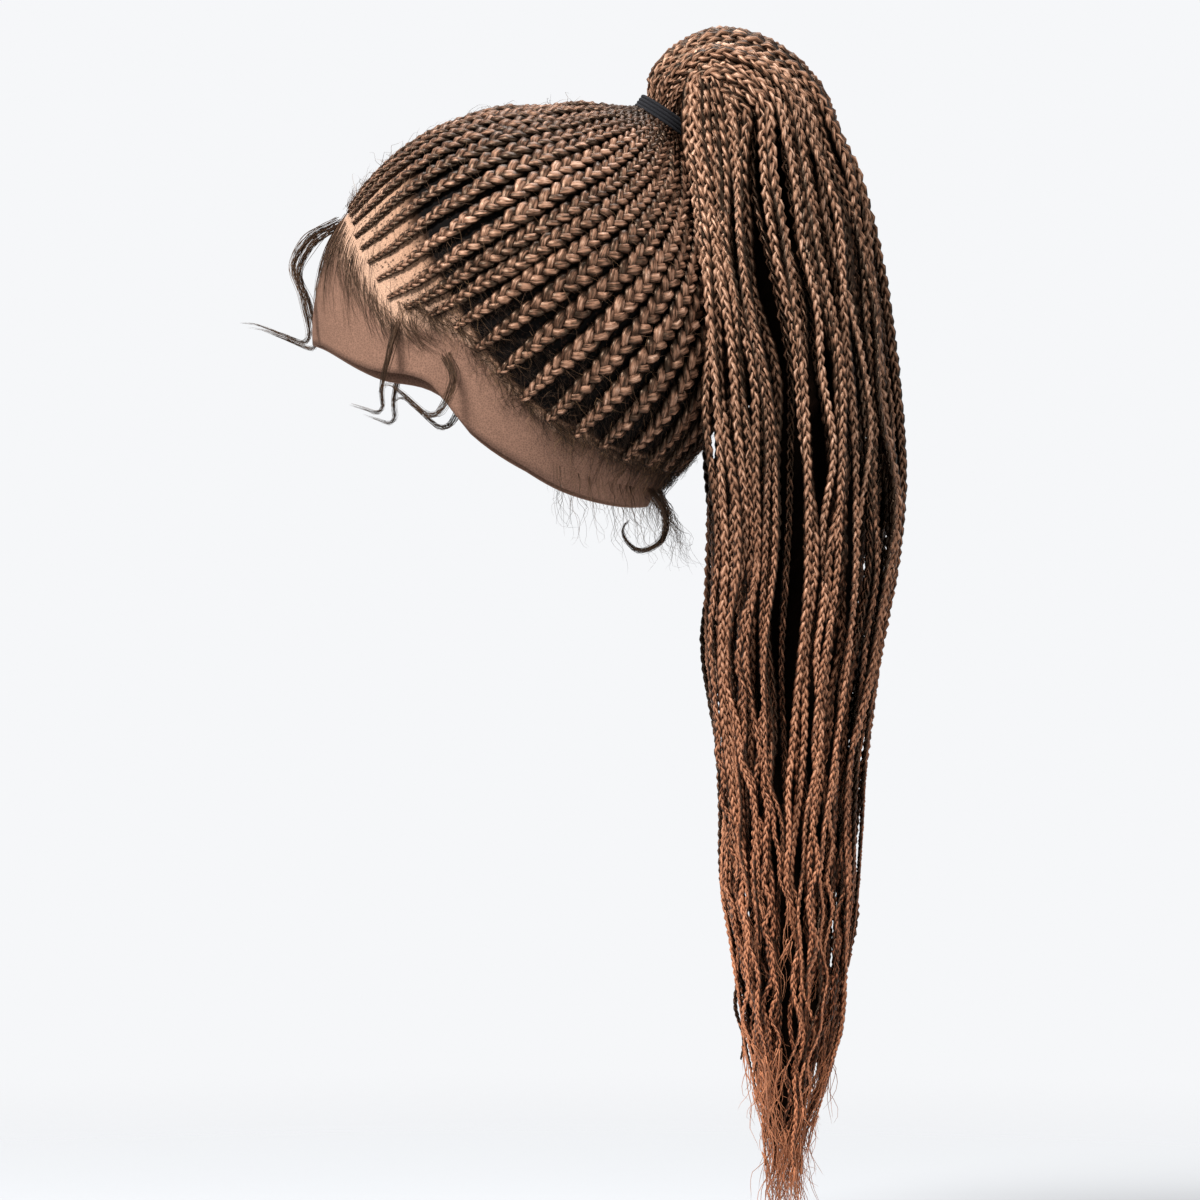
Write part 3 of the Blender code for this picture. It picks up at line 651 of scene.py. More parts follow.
# %% Plait
STRAND_SHARE = 0.215            # a strand's half width, as a share of the plait's width
SWING_SHARE = 0.290             # how far a strand swings to each side
PLUMP_SHARE = 0.270             # a strand's half thickness, as a share of the plait's height
DIP_SHARE = 0.230               # how far it rises and dips
UNEVENNESS = 0.24               # hand-made stitches differ by about this share
PAINTED_LOW_SHADE = 1.25              # painted shade: how much darker the low parts of a plait are coloured than its top
# painted shade: how much darker a plait's sides are coloured
PAINTED_SIDE_SHADE = 0.45


def waves(run, count, shortest, longest):
    """A slow random sway along a line, between about -1 and 1."""
    total = np.zeros_like(run)
    for _ in range(count):
        total += sin(run * 2 * pi / draws.uniform(shortest, longest) + draws.uniform(0, 2 * pi))
    return total / count


def plait(bundle, path, normals, widths, heights, stitches, samples, sides, tone):
    """Adds a plait of three strands along a path. stitches is a side's stitch length at each point."""
    run = lengths_along(path)
    between = (stitches[1:] + stitches[:-1]) / 2
    swing = np.concatenate(([0.0], np.cumsum(np.diff(run) * 2 * pi / (3 * between))))
    count = max(int(swing[-1] / (2 * pi) * samples), 6)
    turns = np.linspace(0.0, swing[-1], count)
    table = np.column_stack((path, normals, widths, heights, run, np.broadcast_to(tone, run.shape)))
    read = read_at(table, swing, turns)
    middle, out, width, height, length = read[:, :3], read[:, 3:6], read[:, 6], read[:, 7], read[:, 8]
    _, out, across = frame_of(middle, out)
    start = draws.uniform(0, 2 * pi)
    for strand in range(3):
        uneven = 1 + UNEVENNESS * waves(turns, 2, 2.0, 9.0)
        angle = turns + start + strand * 2 * pi / 3 + 0.8 * UNEVENNESS * waves(turns, 2, 3.0, 12.0)
        centre = (middle + across * (SWING_SHARE * width * sin(angle))[:, None]
                  + out * (DIP_SHARE * height * sin(2 * angle))[:, None])
        rings = tube_rings(centre, out, STRAND_SHARE * width * uneven, PLUMP_SHARE * height * uneven, sides)
        # Painted shade: fibres low in the plait and at its sides are coloured darker, for the shade there
        ring = 2 * pi * np.arange(sides)[None] / sides
        stand = 0.5 * sin(2 * angle)[:, None] + 0.5 * sin(ring)
        beside = 0.57 * sin(angle)[:, None] + 0.43 * cos(ring)
        painted_plait_shade = PAINTED_LOW_SHADE * (stand - 0.45) - PAINTED_SIDE_SHADE * beside**2
        bundle.add(rings, length + draws.uniform(0, 0.5), read[:, 9:10] + draws.normal(0, 0.13) + painted_plait_shade)


# %% [markdown]
# ## The rows
# Each row starts thin at the hairline, takes in more hair as it runs back, and ends in the ponytail. The rows
# use the same sweep as their solids: a turn round the tie and a spread away from it. Near the tie they rise
# over the gathered hair and climb into the band.

# %% Plait the rows
ROW_PLACES = 72
LANE_GAP = 0.0007
SEAT_GAP = 0.0003
ROW_SAMPLES = 9
ROW_SIDES = 6
PLAIT_FULLNESS = 1.15           # a plait's petals bulge past its mean width
ROW_STRAY = 0.07                # a row made by hand strays from its line by this share of its width
TIE_SHADE = 0.8                 # painted shade: the rows are coloured darker near the tie
ROW_BOUNCE = 0.0006             # how far a row rises and sinks along its run
STITCH_BASE = 0.0012            # a row's stitch is this long, and longer by a share of its width
STITCH_SHARE = 0.54

# Past the gather a row climbs to the band: distance from the tie's axis, height above its foot, how far the
# row's upper face turns from straight out towards the tie's axis, and width, all in the sizes' own shares
CLIMB = (
    (0.80, 0.50, 0.70, 0.0056),
    (0.60, 0.68, 0.55, 0.0050),
    (0.48, 0.83, 0.30, 0.0042),
    (0.43, 1.00, 0.00, 0.0032),
)
CROWDED_WIDTH = 0.0064          # near the tie the rows are pressed to this width and ride on each other
CROWDED_LIFT = 0.0026


def row_route(number, side):
    """Places of one row on the cap, from the hairline to the gather, and the directions out from them."""
    order = number / (ROWS_PER_SIDE + 1)
    start, end = (radians(table_value(ROW_SWEEP, order, column)) for column in (1, 2))
    power = table_value(ROW_SWEEP, order, 3)
    start_spread = spread_where(start, radians(60), radians(125), above_hairline)
    end_spread = spread_where(end, 0.0, radians(60), within_gather)
    share = np.linspace(0.0, 1.0, ROW_PLACES)
    turn = (start + (end - start) * share ** power) * side
    azimuth, polar = angles_of(gather_direction(turn, start_spread + (end_spread - start_spread) * share))
    return cap_point(azimuth, polar), head_normal(azimuth, polar), end * side


def nearest_distances(places, route):
    """How far each place is from the nearest place of another route."""
    return np.linalg.norm(places[:, None] - route[None], axis=-1).min(1)


def climb(turn):
    """Places and outward directions of a row from the gather into the band."""
    around = TIE_FRONT * cos(turn) + TIE_SIDE * sin(turn)
    places = [TIE_FOOT + around * (r * GATHER_RADIUS) + TIE_AXIS * (h * TIE_HEIGHT) for r, h, _, _ in CLIMB]
    outs = [unit(around * (1 - lean) + TIE_AXIS * lean) for _, _, lean, _ in CLIMB]
    return np.array(places), np.array(outs)


row_numbers = [(0, 1, "cornrow_front")]
row_numbers += [(k, 1, f"cornrow_left_{k:02d}") for k in range(1, ROWS_PER_SIDE + 1)]
row_numbers += [(ROWS_PER_SIDE + 1, 1, "cornrow_back")]
row_numbers += [(k, -1, f"cornrow_right_{k:02d}") for k in range(ROWS_PER_SIDE, 0, -1)]
routes = [row_route(number, side) for number, side, _ in row_numbers]
row_starts = []
row_bundles = {"left": Bundle(), "right": Bundle()}
row_nodes = {"left": [], "right": []}
for i, (number, side, node) in enumerate(row_numbers):
    places, outs, end_turn = routes[i]
    run = lengths_along(places)
    order = number / (ROWS_PER_SIDE + 1)
    start_width, start_thickness = (size * table_value(ROW_SWEEP, order, 5)
                                    for size in (ROW_START_WIDTH, ROW_START_THICKNESS))
    growth = np.minimum(run / (ROW_GROWTH * table_value(ROW_SWEEP, order, 4)), 1.0) ** GROWTH_POWER
    lanes = np.minimum(nearest_distances(places, routes[i - 1][0]),
                       nearest_distances(places, routes[(i + 1) % len(routes)][0])) - LANE_GAP
    widths = np.minimum(start_width + (ROW_FULL_WIDTH - start_width) * growth,
                        np.maximum(lanes + 0.0010, CROWDED_WIDTH))
    heights = start_thickness + (ROW_THICKNESS - start_thickness) * growth
    crowded = smooth_step((widths - lanes) / 0.0030)
    lift = SEAT_GAP + heights / 2 + hair_height(places) - ROW_THICKNESS
    lift = lift + crowded * CROWDED_LIFT * (0.5 if i % 2 else -0.3)
    lift = lift + growth * ROW_BOUNCE * waves(run, 2, 0.012, 0.05)
    middle = places + outs * lift[:, None]
    climb_places, climb_outs = climb(end_turn)
    points = np.vstack((middle[::6], climb_places))
    path = smooth_path(points, 0.0012)
    fine = lengths_along(path)
    rough = lengths_along(points)
    table = np.column_stack((
        np.vstack((outs[::6], climb_outs)),
        np.concatenate((widths[::6], [row[3] for row in CLIMB])),
        np.concatenate((heights[::6], [0.75 * row[3] + 0.001 for row in CLIMB])),
    ))
    read = read_at(table, rough / rough[-1] * fine[-1], fine)
    stitches = STITCH_BASE + STITCH_SHARE * read[:, 3]
    word = "right" if side < 0 else "left"
    _, _, across = frame_of(path, read[:, :3])
    strays = read[:, 3] * ROW_STRAY * waves(fine, 3, 0.012, 0.06)
    # Near the tie the rows' tone is lowered: painted shade
    near_tie = smooth_step(1 - (np.linalg.norm(path - TIE_FOOT, axis=1) - 0.45 * GATHER_RADIUS) / GATHER_RUN)
    plait(row_bundles[word], path + across * strays[:, None], read[:, :3], read[:, 3] * PLAIT_FULLNESS,
          read[:, 4] * PLAIT_FULLNESS, stitches, ROW_SAMPLES, ROW_SIDES,
          draws.uniform(0.35, 0.65) - TIE_SHADE * near_tie)
    row_nodes[word].append(node)
    row_starts.append((path, read[:, :3]))
for word, bundle in row_bundles.items():
    finish_piece(f"plaited_rows_{word}", bundle.mesh(f"plaited_rows_{word}"), row_hair, "braid_hair",
                 *row_nodes[word])

# %% [markdown]
# ### The gathered hair under the rows
# Near the tie the rows lie on the hair that is already gathered there. It shows only in the gaps, so it is
# one plain skin from the cap up to the band, and its near-black colour is painted shade. The skin is a grid
# whose two directions become the turn round the tie and the distance from it.

# %% Gathered hair
PAD_TURNS = 96
PAD_STEPS = 14
PAD_SINK = 0.0016               # how far the skin lies below the rows' middles
PAD_RISE = 0.0056               # its height where the climb begins

def map_round_tie(bm, centre, turn_scale, measure):
    """Maps faces by their turn round the tie and by a measure of their place from a centre."""
    layer = bm.loops.layers.uv.new("fibres")
    for face in bm.faces:
        for loop in face.loops:
            offset = np.array(loop.vert.co) - centre
            turn = np.arctan2(offset @ TIE_SIDE, offset @ TIE_FRONT)
            loop[layer].uv = (turn * turn_scale, measure(offset))


bm = bmesh.new()
bmesh.ops.create_grid(bm, x_segments=PAD_TURNS, y_segments=PAD_STEPS, size=1.0)
pad_end = GATHER_RADIUS + 0.9 * GATHER_RUN
for vert in bm.verts:
    turn = (vert.co.x + 1) * pi
    share = (vert.co.y + 1) / 2
    radius = 0.43 * GATHER_RADIUS + (pad_end - 0.43 * GATHER_RADIUS) * share ** 1.3
    around = TIE_FRONT * cos(turn) + TIE_SIDE * sin(turn)
    if radius < GATHER_RADIUS:
        keys = [(row[0] * GATHER_RADIUS, row[1] * TIE_HEIGHT) for row in CLIMB[::-1]]
        keys.append((GATHER_RADIUS, PAD_RISE))
        height = np.interp(radius, [key[0] for key in keys], [key[1] for key in keys])
        vert.co = TIE_FOOT + around * radius + TIE_AXIS * (height - PAD_SINK)
    else:
        spread = spread_where(turn, 0.0, radians(80), lambda t, s: within_gather(t, s, radius))
        place = cap_point(*angles_of(gather_direction(turn, spread)))
        out = head_normal(*angles_of(gather_direction(turn, spread)))
        vert.co = place + out * max(hair_height(place) - ROW_THICKNESS + 0.0022 - PAD_SINK, 0.0001)
bmesh.ops.remove_doubles(bm, verts=bm.verts[:], dist=0.00002)
map_round_tie(bm, TIE_FOOT, 3, np.linalg.norm)
pad = finish_piece("gathered_hair", smooth_mesh(bm, "gathered_hair"), painted_shade_hair, "braid_hair")
skin = pad.modifiers.new("wall", "SOLIDIFY")
skin.thickness = 0.0004
skin.offset = -1.0

# %% [markdown]
# ## The elastic band
# The tie is a covered elastic: a few round cords side by side in a knitted black cover. Its section is drawn
# once, flat, and bmesh's spin turns it round the tie's axis.

# %% Turn the band
BAND_STEPS = 120
CORD_POINTS = 7
RIB_DEPTH = 0.0002

elastic, tree, shader = new_material("knitted cover of an elastic, black")
around_map = add_node(tree, "ShaderNodeUVMap", {"uv_map": "fibres"})
ribs = add_node(tree, "ShaderNodeTexWave", {"Scale": 1.0, "bands_direction": "DIAGONAL", "Distortion": 1.2,
                                            "Detail": 2.0}, {"Vector": around_map.outputs["UV"]})
cover = add_node(tree, "ShaderNodeValToRGB", {"stops": [(0.2, "#070708"), (0.8, "#2e2e33")]},
                 {"Fac": ribs.outputs["Fac"]})
tree.links.new(cover.outputs["Color"], shader.inputs["Base Color"])
raised = add_node(tree, "ShaderNodeBump", {"Strength": 0.8, "Distance": RIB_DEPTH},
                  {"Height": ribs.outputs["Fac"]})
tree.links.new(raised.outputs["Normal"], shader.inputs["Normal"])
shader.inputs["Roughness"].default_value = 0.7
shader.inputs["Specular IOR Level"].default_value = 0.2

bm = bmesh.new()
cord = BAND_WIDTH / BAND_RIDGES
outline = [(BAND_INNER, -BAND_WIDTH / 2), (BAND_INNER, BAND_WIDTH / 2)]
for ridge in range(BAND_RIDGES):
    middle = BAND_WIDTH / 2 - cord * (ridge + 0.5)
    for k in range(CORD_POINTS):
        angle = pi * (k + 0.5) / CORD_POINTS
        outline.append((BAND_OUTER - cord * 0.5 + cord * 0.5 * sin(angle), middle + cord * 0.5 * cos(angle)))
corners = [bm.verts.new(BAND_CENTRE + TIE_FRONT * r + TIE_AXIS * h) for r, h in outline]
loop_edges = [bm.edges.new((corners[i - 1], corners[i])) for i in range(len(corners))]
bmesh.ops.spin(bm, geom=corners + loop_edges, cent=Vector(BAND_CENTRE), axis=Vector(TIE_AXIS), angle=2 * pi,
               steps=BAND_STEPS, use_merge=True, use_duplicate=False)
bmesh.ops.remove_doubles(bm, verts=bm.verts[:], dist=0.00001)
map_round_tie(bm, BAND_CENTRE, 18, lambda offset: (offset @ TIE_AXIS) * 900)
finish_piece("elastic_cords", smooth_mesh(bm, "elastic_cords"), elastic, "elastic", "elastic_band")

# %% [markdown]
# ## The ponytail's form
# The long braids leave the band, arch over its back rim and hang down behind the head. Their outer form is a
# row of ovals, given in two short tables. A braid keeps its own angle round those ovals and its own depth in
# them, so neighbours run side by side as they do on the real wig.

# %% Ovals of the arch and the fall
ARCH = (
    (-0.060, 0.520, -40, 0.33),
    (0.050, 0.810, -15, 0.46),
    (0.210, 0.985, 10, 0.58),
    (0.375, 0.912, 35, 0.68),
    (0.530, 0.668, 60, 0.76),
    (0.645, 0.302, 85, 0.81),
)
FALL = (
    (0.028, 0.735, 0.155, 0.070, 0.84),
    (0.062, 0.800, 0.150, 0.110, 0.90),
    (0.108, 0.858, 0.145, 0.100, 0.96),
    (0.180, 0.915, 0.140, 0.060, 1.00),
    (0.245, 0.950, 0.190, 0.050, 1.00),
    (0.298, 0.975, 0.200, 0.050, 1.00),
    (0.356, 0.990, 0.145, 0.000, 0.96),
    (0.432, 0.964, 0.150, 0.000, 0.92),
    (0.508, 0.900, 0.173, 0.000, 0.86),
    (0.582, 0.840, 0.205, 0.000, 0.80),
    (0.656, 0.810, 0.200, 0.000, 0.74),
    (0.730, 0.796, 0.190, 0.000, 0.68),
    (0.795, 0.773, 0.250, 0.000, 0.60),
    (0.860, 0.727, 0.300, 0.000, 0.50),
    (0.915, 0.664, 0.350, 0.000, 0.38),
    (0.970, 0.580, 0.400, 0.000, 0.22),
)
TIP_DROP = 1.060                # the lowest oval's share of the drop, where the last ends hang


def head_angles(points):
    """The head's angles of points near its surface, from the half sizes at each point's own level."""
    offset = points - HEAD_CENTRE
    front = offset[..., 1] < 0
    length = np.where(front, HEAD_FRONT, HEAD_BACK)
    above = angles_of(np.stack((offset[..., 0] / HEAD_HALF_WIDTH, offset[..., 1] / length,
                                offset[..., 2] / CROWN_HEIGHT), -1))
    share = np.clip(-offset[..., 2] / NAPE_DROP, 0.0, 1.0)
    side, ahead, back = (table_value(LOWER_HEAD, share, column) for column in (1, 2, 3))
    length = np.where(front, HEAD_FRONT * ahead, HEAD_BACK * back)
    azimuth = np.arctan2(offset[..., 0] / (HEAD_HALF_WIDTH * side), -offset[..., 1] / length)
    below = offset[..., 2] < 0
    polar = pi / 2 + (NAPE_POLAR - pi / 2) * share
    return np.where(below, azimuth, above[0]), np.where(below, polar, above[1])


def clear_of_head(points, clearance):
    """Moves points straight back until they are clear of the head and its rows."""
    moved = points.copy()
    for _ in range(120):
        azimuth, polar = head_angles(moved)
        surface = cap_point(azimuth, polar)
        stand = ((moved - surface) * head_normal(azimuth, polar)).sum(-1)
        inside = (polar < NAPE_POLAR) & (stand < hair_height(surface) + clearance)
        if not inside.any():
            break
        moved[..., 1] += np.where(inside, 0.0006, 0.0)
    return moved


def ponytail_ovals():
    """The outer and inner point, half width and forward reach of each oval, from the band down."""
    ovals = []
    for rise in (-0.5, 0.5):
        centre = BAND_CENTRE + TIE_AXIS * (rise * BAND_WIDTH)
        ovals.append((centre + TIE_FRONT * NECK_RADIUS, centre - TIE_FRONT * NECK_RADIUS, NECK_RADIUS, 0.0))
    rim = BAND_CENTRE + TIE_AXIS * (BAND_WIDTH / 2) - TIE_FRONT * BAND_OUTER
    for back, rise, turn, width in ARCH:
        outer = BAND_CENTRE + np.array((0.0, back * PONYTAIL_REACH, rise * ARCH_RISE))
        inner = rim + (TIE_AXIS * cos(radians(turn)) - TIE_FRONT * sin(radians(turn))) * RIM_CLEARANCE
        ovals.append((outer, inner, width * PONYTAIL_HALF_WIDTH, 0.0))
    for down, outside, inside, forward, width in FALL + ((TIP_DROP, 0.52, 0.44, 0.0, 0.10),):
        level = BAND_CENTRE + np.array((0.0, 0.0, -down * PONYTAIL_DROP))
        outer = level + np.array((0.0, outside * PONYTAIL_REACH, 0.0))
        inner = level + np.array((0.0, inside * PONYTAIL_REACH, 0.0))
        ovals.append((outer, inner, width * PONYTAIL_HALF_WIDTH, forward * PONYTAIL_REACH))
    return ovals


ovals = ponytail_ovals()
print("ovals along the ponytail:", len(ovals))

# %% [markdown]
# ## The braids of the ponytail
# The outer layer has the braids that show, and two more layers fill the inside, so that the gaps show hair
# in shadow and not daylight. A braid starts thin in the band, is widest on the arch and thins out
# towards its end. It turns a little about its own line on the way down, as a free braid does.

# %% Plait the ponytail
# Layer, number of braids, depth in the ovals, width at the top and bottom, samples in a swing and sides
LAYERS = (
    ("outer", 46, 0.965, 0.0069, 0.0025, 7, 4),
    ("middle", 34, 0.82, 0.0072, 0.0030, 5, 3),
    ("inner", 10, 0.55, 0.0066, 0.0038, 4, 3),
)
BRAID_STEP = 0.0020
NECK_RUN = 0.034                # the run over which a braid opens out of the band
WANDER = 0.0038                 # how far a braid strays from its line
END_WANDER = 0.0010             # and how much further near its end
CORE_DEPTH = 0.60               # the gathered hair inside reaches this share of the ovals' size
CORE_SIDES = 28
CORE_STEP = 0.0080


def plume_points(angle, depth):
    """The points of one line down the ovals, and the ovals' middles. angle gives each oval's own angle."""
    points, centres = [], []
    for (outer, inner, half_width, forward), theta in zip(ovals, angle):
        centre = (outer + inner) / 2
        lobe = depth * (1 - LOCK_GROOVE * abs(sin(LOCKS * theta / 2 + pi / 2)))
        inward = -cos(theta)
        rounded = abs(inward) ** 0.8 * np.sign(inward)
        point = centre + (inner - outer) / 2 * rounded * lobe + TIE_SIDE * half_width * lobe * sin(theta)
        point[1] -= forward * abs(sin(theta)) ** 1.5 * (1 + rounded) / 2
        points.append(point)
        centres.append(centre)
    points = np.array(points)
    points[2:] = clear_of_head(points[2:], PLUME_CLEARANCE + 0.0012)
    return points, np.array(centres)


def braid_path(angle, depth):
    """The line of one braid through the ovals, and the directions out from the ponytail's middle."""
    drift = radians(draws.normal(0, 5)) * np.linspace(0, 1, len(ovals))
    points, centres = plume_points(angle + drift, depth)
    path = smooth_path(points, BRAID_STEP)
    middle = read_at(centres, lengths_along(points) / lengths_along(points)[-1],
                     np.linspace(0, 1, len(path)))
    return path, unit(path - middle)


def plait_free_braid(bundle, path, outs, widths, flatness, samples, sides, tone):
    """Adds a free braid, which opens out of the band, strays from its line, turns and thins to its end."""
    run = lengths_along(path)
    _, out, across = frame_of(path, outs)
    near_end = smooth_step((run - run[-1] + 0.16) / 0.12)
    stray = smooth_step((run - 0.03) / 0.12) * WANDER + near_end * END_WANDER
    sideways = waves(run, 3, 0.06, 0.24) + 0.5 * near_end * waves(run, 2, 0.02, 0.05)
    path = path + across * (sideways * stray)[:, None]
    path = path + out * (waves(run, 3, 0.06, 0.24) * stray * 0.8)[:, None]
    roll = radians(draws.uniform(-35, 35)) + 0.7 * waves(run, 2, 0.15, 0.5)
    turned = out * cos(roll)[:, None] + across * sin(roll)[:, None]
    width = widths[0] + (widths[1] - widths[0]) * run / run[-1]
    width = width * (0.42 + 0.58 * smooth_step(run / NECK_RUN))
    width = width * (0.45 + 0.55 * smooth_step((run[-1] - run) / 0.030)) * draws.uniform(0.88, 1.12)
    plait(bundle, path, turned, width, width * flatness, 0.0012 + 0.85 * width, samples, sides, tone)
    braid_ends.append((path, turned, tone))


ponytail_bundles = {}
braid_ends = []
for layer, count, depth, top_width, end_width, samples, sides in LAYERS:
    for k in range(count):
        angle = 2 * pi * (k + 0.5 + draws.uniform(-0.22, 0.22)) / count
        path, outs = braid_path(angle, depth * draws.uniform(0.92, 1.03))
        last = int(len(path) * draws.uniform(0.80, 0.965))
        # The inner layers are coloured darker than the outer one: painted shade inside the ponytail
        tone = draws.uniform(0.60, 1.00) if layer == "outer" else draws.uniform(0.25, 0.65)
        quarter = ["back", "left", "front", "right"][int((angle + pi / 4) // (pi / 2)) % 4]
        name = f"ponytail_braids_{quarter}" if layer == "outer" else f"ponytail_braids_{layer}"
        bundle = ponytail_bundles.setdefault(name, Bundle())
        plait_free_braid(bundle, path[:last], outs[:last], (top_width, end_width), 0.75, samples, sides, tone)

# %% [markdown]
# ### Braids beside the head
# The ponytail's sides don't go over the arch's top. They leave the band, fold over its rim and hang down
# beside the back of the head, where they cover the gap behind the band. Their line is one table, and each
# braid of a side keeps its own share of the way from the front line to the back line.

# %% Plait the side braids
SIDE_BRAIDS = 8
SIDE_WIDTHS = (0.0066, 0.0024)
# Places from the band's middle as shares: aside of the ponytail's half width, back of its reach, down of its
# drop, and how far back and up the last braid lies from the first one, in the same shares
SIDE_LINE = (
    (0.08, 0.000, 0.002, 0.000, 0.000),
    (0.18, 0.080, -0.026, 0.010, 0.002),
    (0.36, 0.110, -0.042, 0.060, 0.020),
    (0.50, 0.085, -0.022, 0.150, 0.036),
    (0.60, 0.075, 0.020, 0.190, 0.020),
    (0.72, 0.092, 0.066, 0.210, 0.000),
    (0.88, 0.110, 0.128, 0.220, 0.000),
    (0.95, 0.125, 0.192, 0.230, 0.000),
    (0.97, 0.155, 0.268, 0.240, 0.000),
    (0.92, 0.182, 0.340, 0.240, 0.000),
    (0.84, 0.190, 0.415, 0.240, 0.000),
    (0.74, 0.164, 0.490, 0.240, 0.000),
    (0.66, 0.186, 0.556, 0.230, 0.000),
    (0.58, 0.230, 0.651, 0.220, 0.000),
    (0.50, 0.276, 0.747, 0.200, 0.000),
    (0.42, 0.290, 0.842, 0.170, 0.000),
    (0.34, 0.330, 0.915, 0.140, 0.000),
)
for side, word in ((1, "left"), (-1, "right")):
    bundle = Bundle()
    for k in range(SIDE_BRAIDS):
        order = (k + draws.uniform(-0.2, 0.2)) / (SIDE_BRAIDS - 1)
        points = np.array([
            BAND_CENTRE + (side * (aside + 0.10 * order * min(down * 8, 1)) * PONYTAIL_HALF_WIDTH,
                           (back + order * spread) * PONYTAIL_REACH, (order * rise - down) * PONYTAIL_DROP)
            for aside, back, down, spread, rise in SIDE_LINE
        ])
        points[4:] = clear_of_head(points[4:], PLUME_CLEARANCE)
        path = smooth_path(points, BRAID_STEP)
        path = path[:int(len(path) * draws.uniform(0.84, 1.0))]
        outs = unit(path - BAND_CENTRE - (0.0, 0.45 * PONYTAIL_REACH, 0.0) + TIE_SIDE * side * 0.02)
        outs[:, 2] *= 0.2
        plait_free_braid(bundle, path, outs, SIDE_WIDTHS, 0.75, 7, 4, draws.uniform(0.55, 0.95))
    name = f"ponytail_side_braids_{word}"
    finish_piece(name, bundle.mesh(name), pony_hair, "ponytail_hair", "ponytail")
for name, bundle in ponytail_bundles.items():
    finish_piece(name, bundle.mesh(name), pony_hair, "ponytail_hair", "ponytail")

# Inside, the hair is packed so close that no light comes through. One tube stands for it, coloured
# near-black as painted shade.
core_lines = []
for k in range(CORE_SIDES):
    points, _ = plume_points(np.full(len(ovals), -2 * pi * k / CORE_SIDES), CORE_DEPTH)
    line = smooth_path(points, CORE_STEP)
    run = lengths_along(line)
    core_lines.append(read_at(line, run, np.linspace(0.01, 0.93, 64) * run[-1]))
core_rings = np.stack(core_lines, 1)
core = Bundle()
core.add(core_rings, lengths_along(core_rings.mean(1)), 0.0)
finish_piece("ponytail_core", core.mesh("ponytail_core"), painted_shade_hair, "ponytail_hair", "ponytail")

# %% [markdown]
# ## The ends
# The braids aren't sealed. Each one comes undone at its end into wavy wisps, which tangle a little. A wisp
# leaves the braid along its line, sways more and more and thins to nothing.

# %% Wisps
WISPS = 7
WISP_RADIUS = 0.00030
WISP_STEP = 0.0034
WISP_TONE = 0.35                # how much lighter loose fibre looks than the braid it comes from


def hair_tube(bundle, points, radius, tone, step=0.0028, tip=0.25, sides=3):
    """A thin hair through points, which narrows to its tip."""
    path = smooth_path(np.asarray(points), step)
    share = np.linspace(0, 1, len(path))
    radii = radius * (1 - (1 - tip) * share)
    radii[-1] = radius * 0.05
    side = unit(np.cross(path[-1] - path[0] + 1e-6, (0.3, 0.9, 0.2)))
    rings = tube_rings(path, np.broadcast_to(side, path.shape), radii, radii, sides)
    bundle.add(rings, lengths_along(path), tone)


TIP = BAND_CENTRE + (0.0, 0.49 * PONYTAIL_REACH, -TIP_DROP * PONYTAIL_DROP)
wisps = Bundle()
for path, outs, tone in braid_ends:
    along = unit(path[-1] - path[-6])
    for _ in range(WISPS):
        reach = draws.uniform(0.010, 0.040)
        run = np.linspace(0, reach, 12)
        lean = unit(along + draws.normal(0, 0.12, 3) + (TIP - path[-1]) * (0.5, 0.5, 0.0) / 0.040)
        sway = np.stack([waves(run, 2, 0.010, 0.032) for _ in range(3)], -1) * (run / reach)[:, None]
        start = path[-4] + draws.normal(0, 0.0006, 3)
        down = lean * run[:, None] + np.array((0.0, 0.0, -0.25)) * (run**2 / reach)[:, None]
        points = start + down + sway * draws.uniform(0.0015, 0.0062)
        hair_tube(wisps, points, WISP_RADIUS, tone + WISP_TONE, WISP_STEP)
finish_piece("ponytail_wisps", wisps.mesh("ponytail_wisps"), pony_hair, "ponytail_hair")

# %% [markdown]
# ## Baby hair
# The short hair at the hairline is left out of the rows, brushed down over the lace and set in curls with a
# little gel. Each curl is some dozens of hairs that leave the lace side by side and close up towards the tip.

# %% Curls at the hairline
FRONT_CURL = (
    (0.00, 0.00, 0.00),
    (0.10, 0.20, 0.12),
    (0.18, 0.31, 0.32),
    (0.26, 0.24, 0.54),
    (0.30, 0.20, 0.85),
    (0.28, 0.38, 0.80),
    (0.22, 0.56, 0.73),
    (0.15, 0.71, 0.71),
)
TEMPLE_CURL = (
    (0.00, 0.00, 0.00),
    (0.12, 0.06, 0.28),
    (0.16, 0.14, 0.64),
    (0.13, 0.14, 0.88),
    (0.10, 0.32, 0.84),
    (0.06, 0.50, 0.78),
)
SIDEBURN_CURL = (
    (0.00, 0.00, 0.00),
    (0.12, -0.08, 0.28),
    (0.17, 0.14, 0.66),
    (0.15, 0.50, 0.40),
    (0.12, 0.66, 0.30),
    (0.10, 0.80, 0.50),
)
NAPE_CURL = (
    (0.00, 0.00, 0.00),
    (0.06, -0.22, 0.30),
    (0.10, -0.20, 0.72),
    (0.12, 0.16, 0.90),
    (0.10, 0.42, 0.60),
    (0.08, 0.20, 0.36),
)
# Name, curl, reach, degrees round from the front, share of the whole height
BABY_HAIR = (
    ("front", FRONT_CURL, 0.064, 8, 0.275),
    ("temple", TEMPLE_CURL, 0.044, 55, 0.545),
    ("sideburn", SIDEBURN_CURL, 0.040, 70, 0.625),
    ("nape", NAPE_CURL, 0.030, 158, 0.945),
)
CURL_HAIRS = 34
HAIR_RADIUS = 0.00015           # a real hair is half as thick, which is too fine to show
LOCK_SPREAD = 0.0026
CURL_STEP = 0.0026

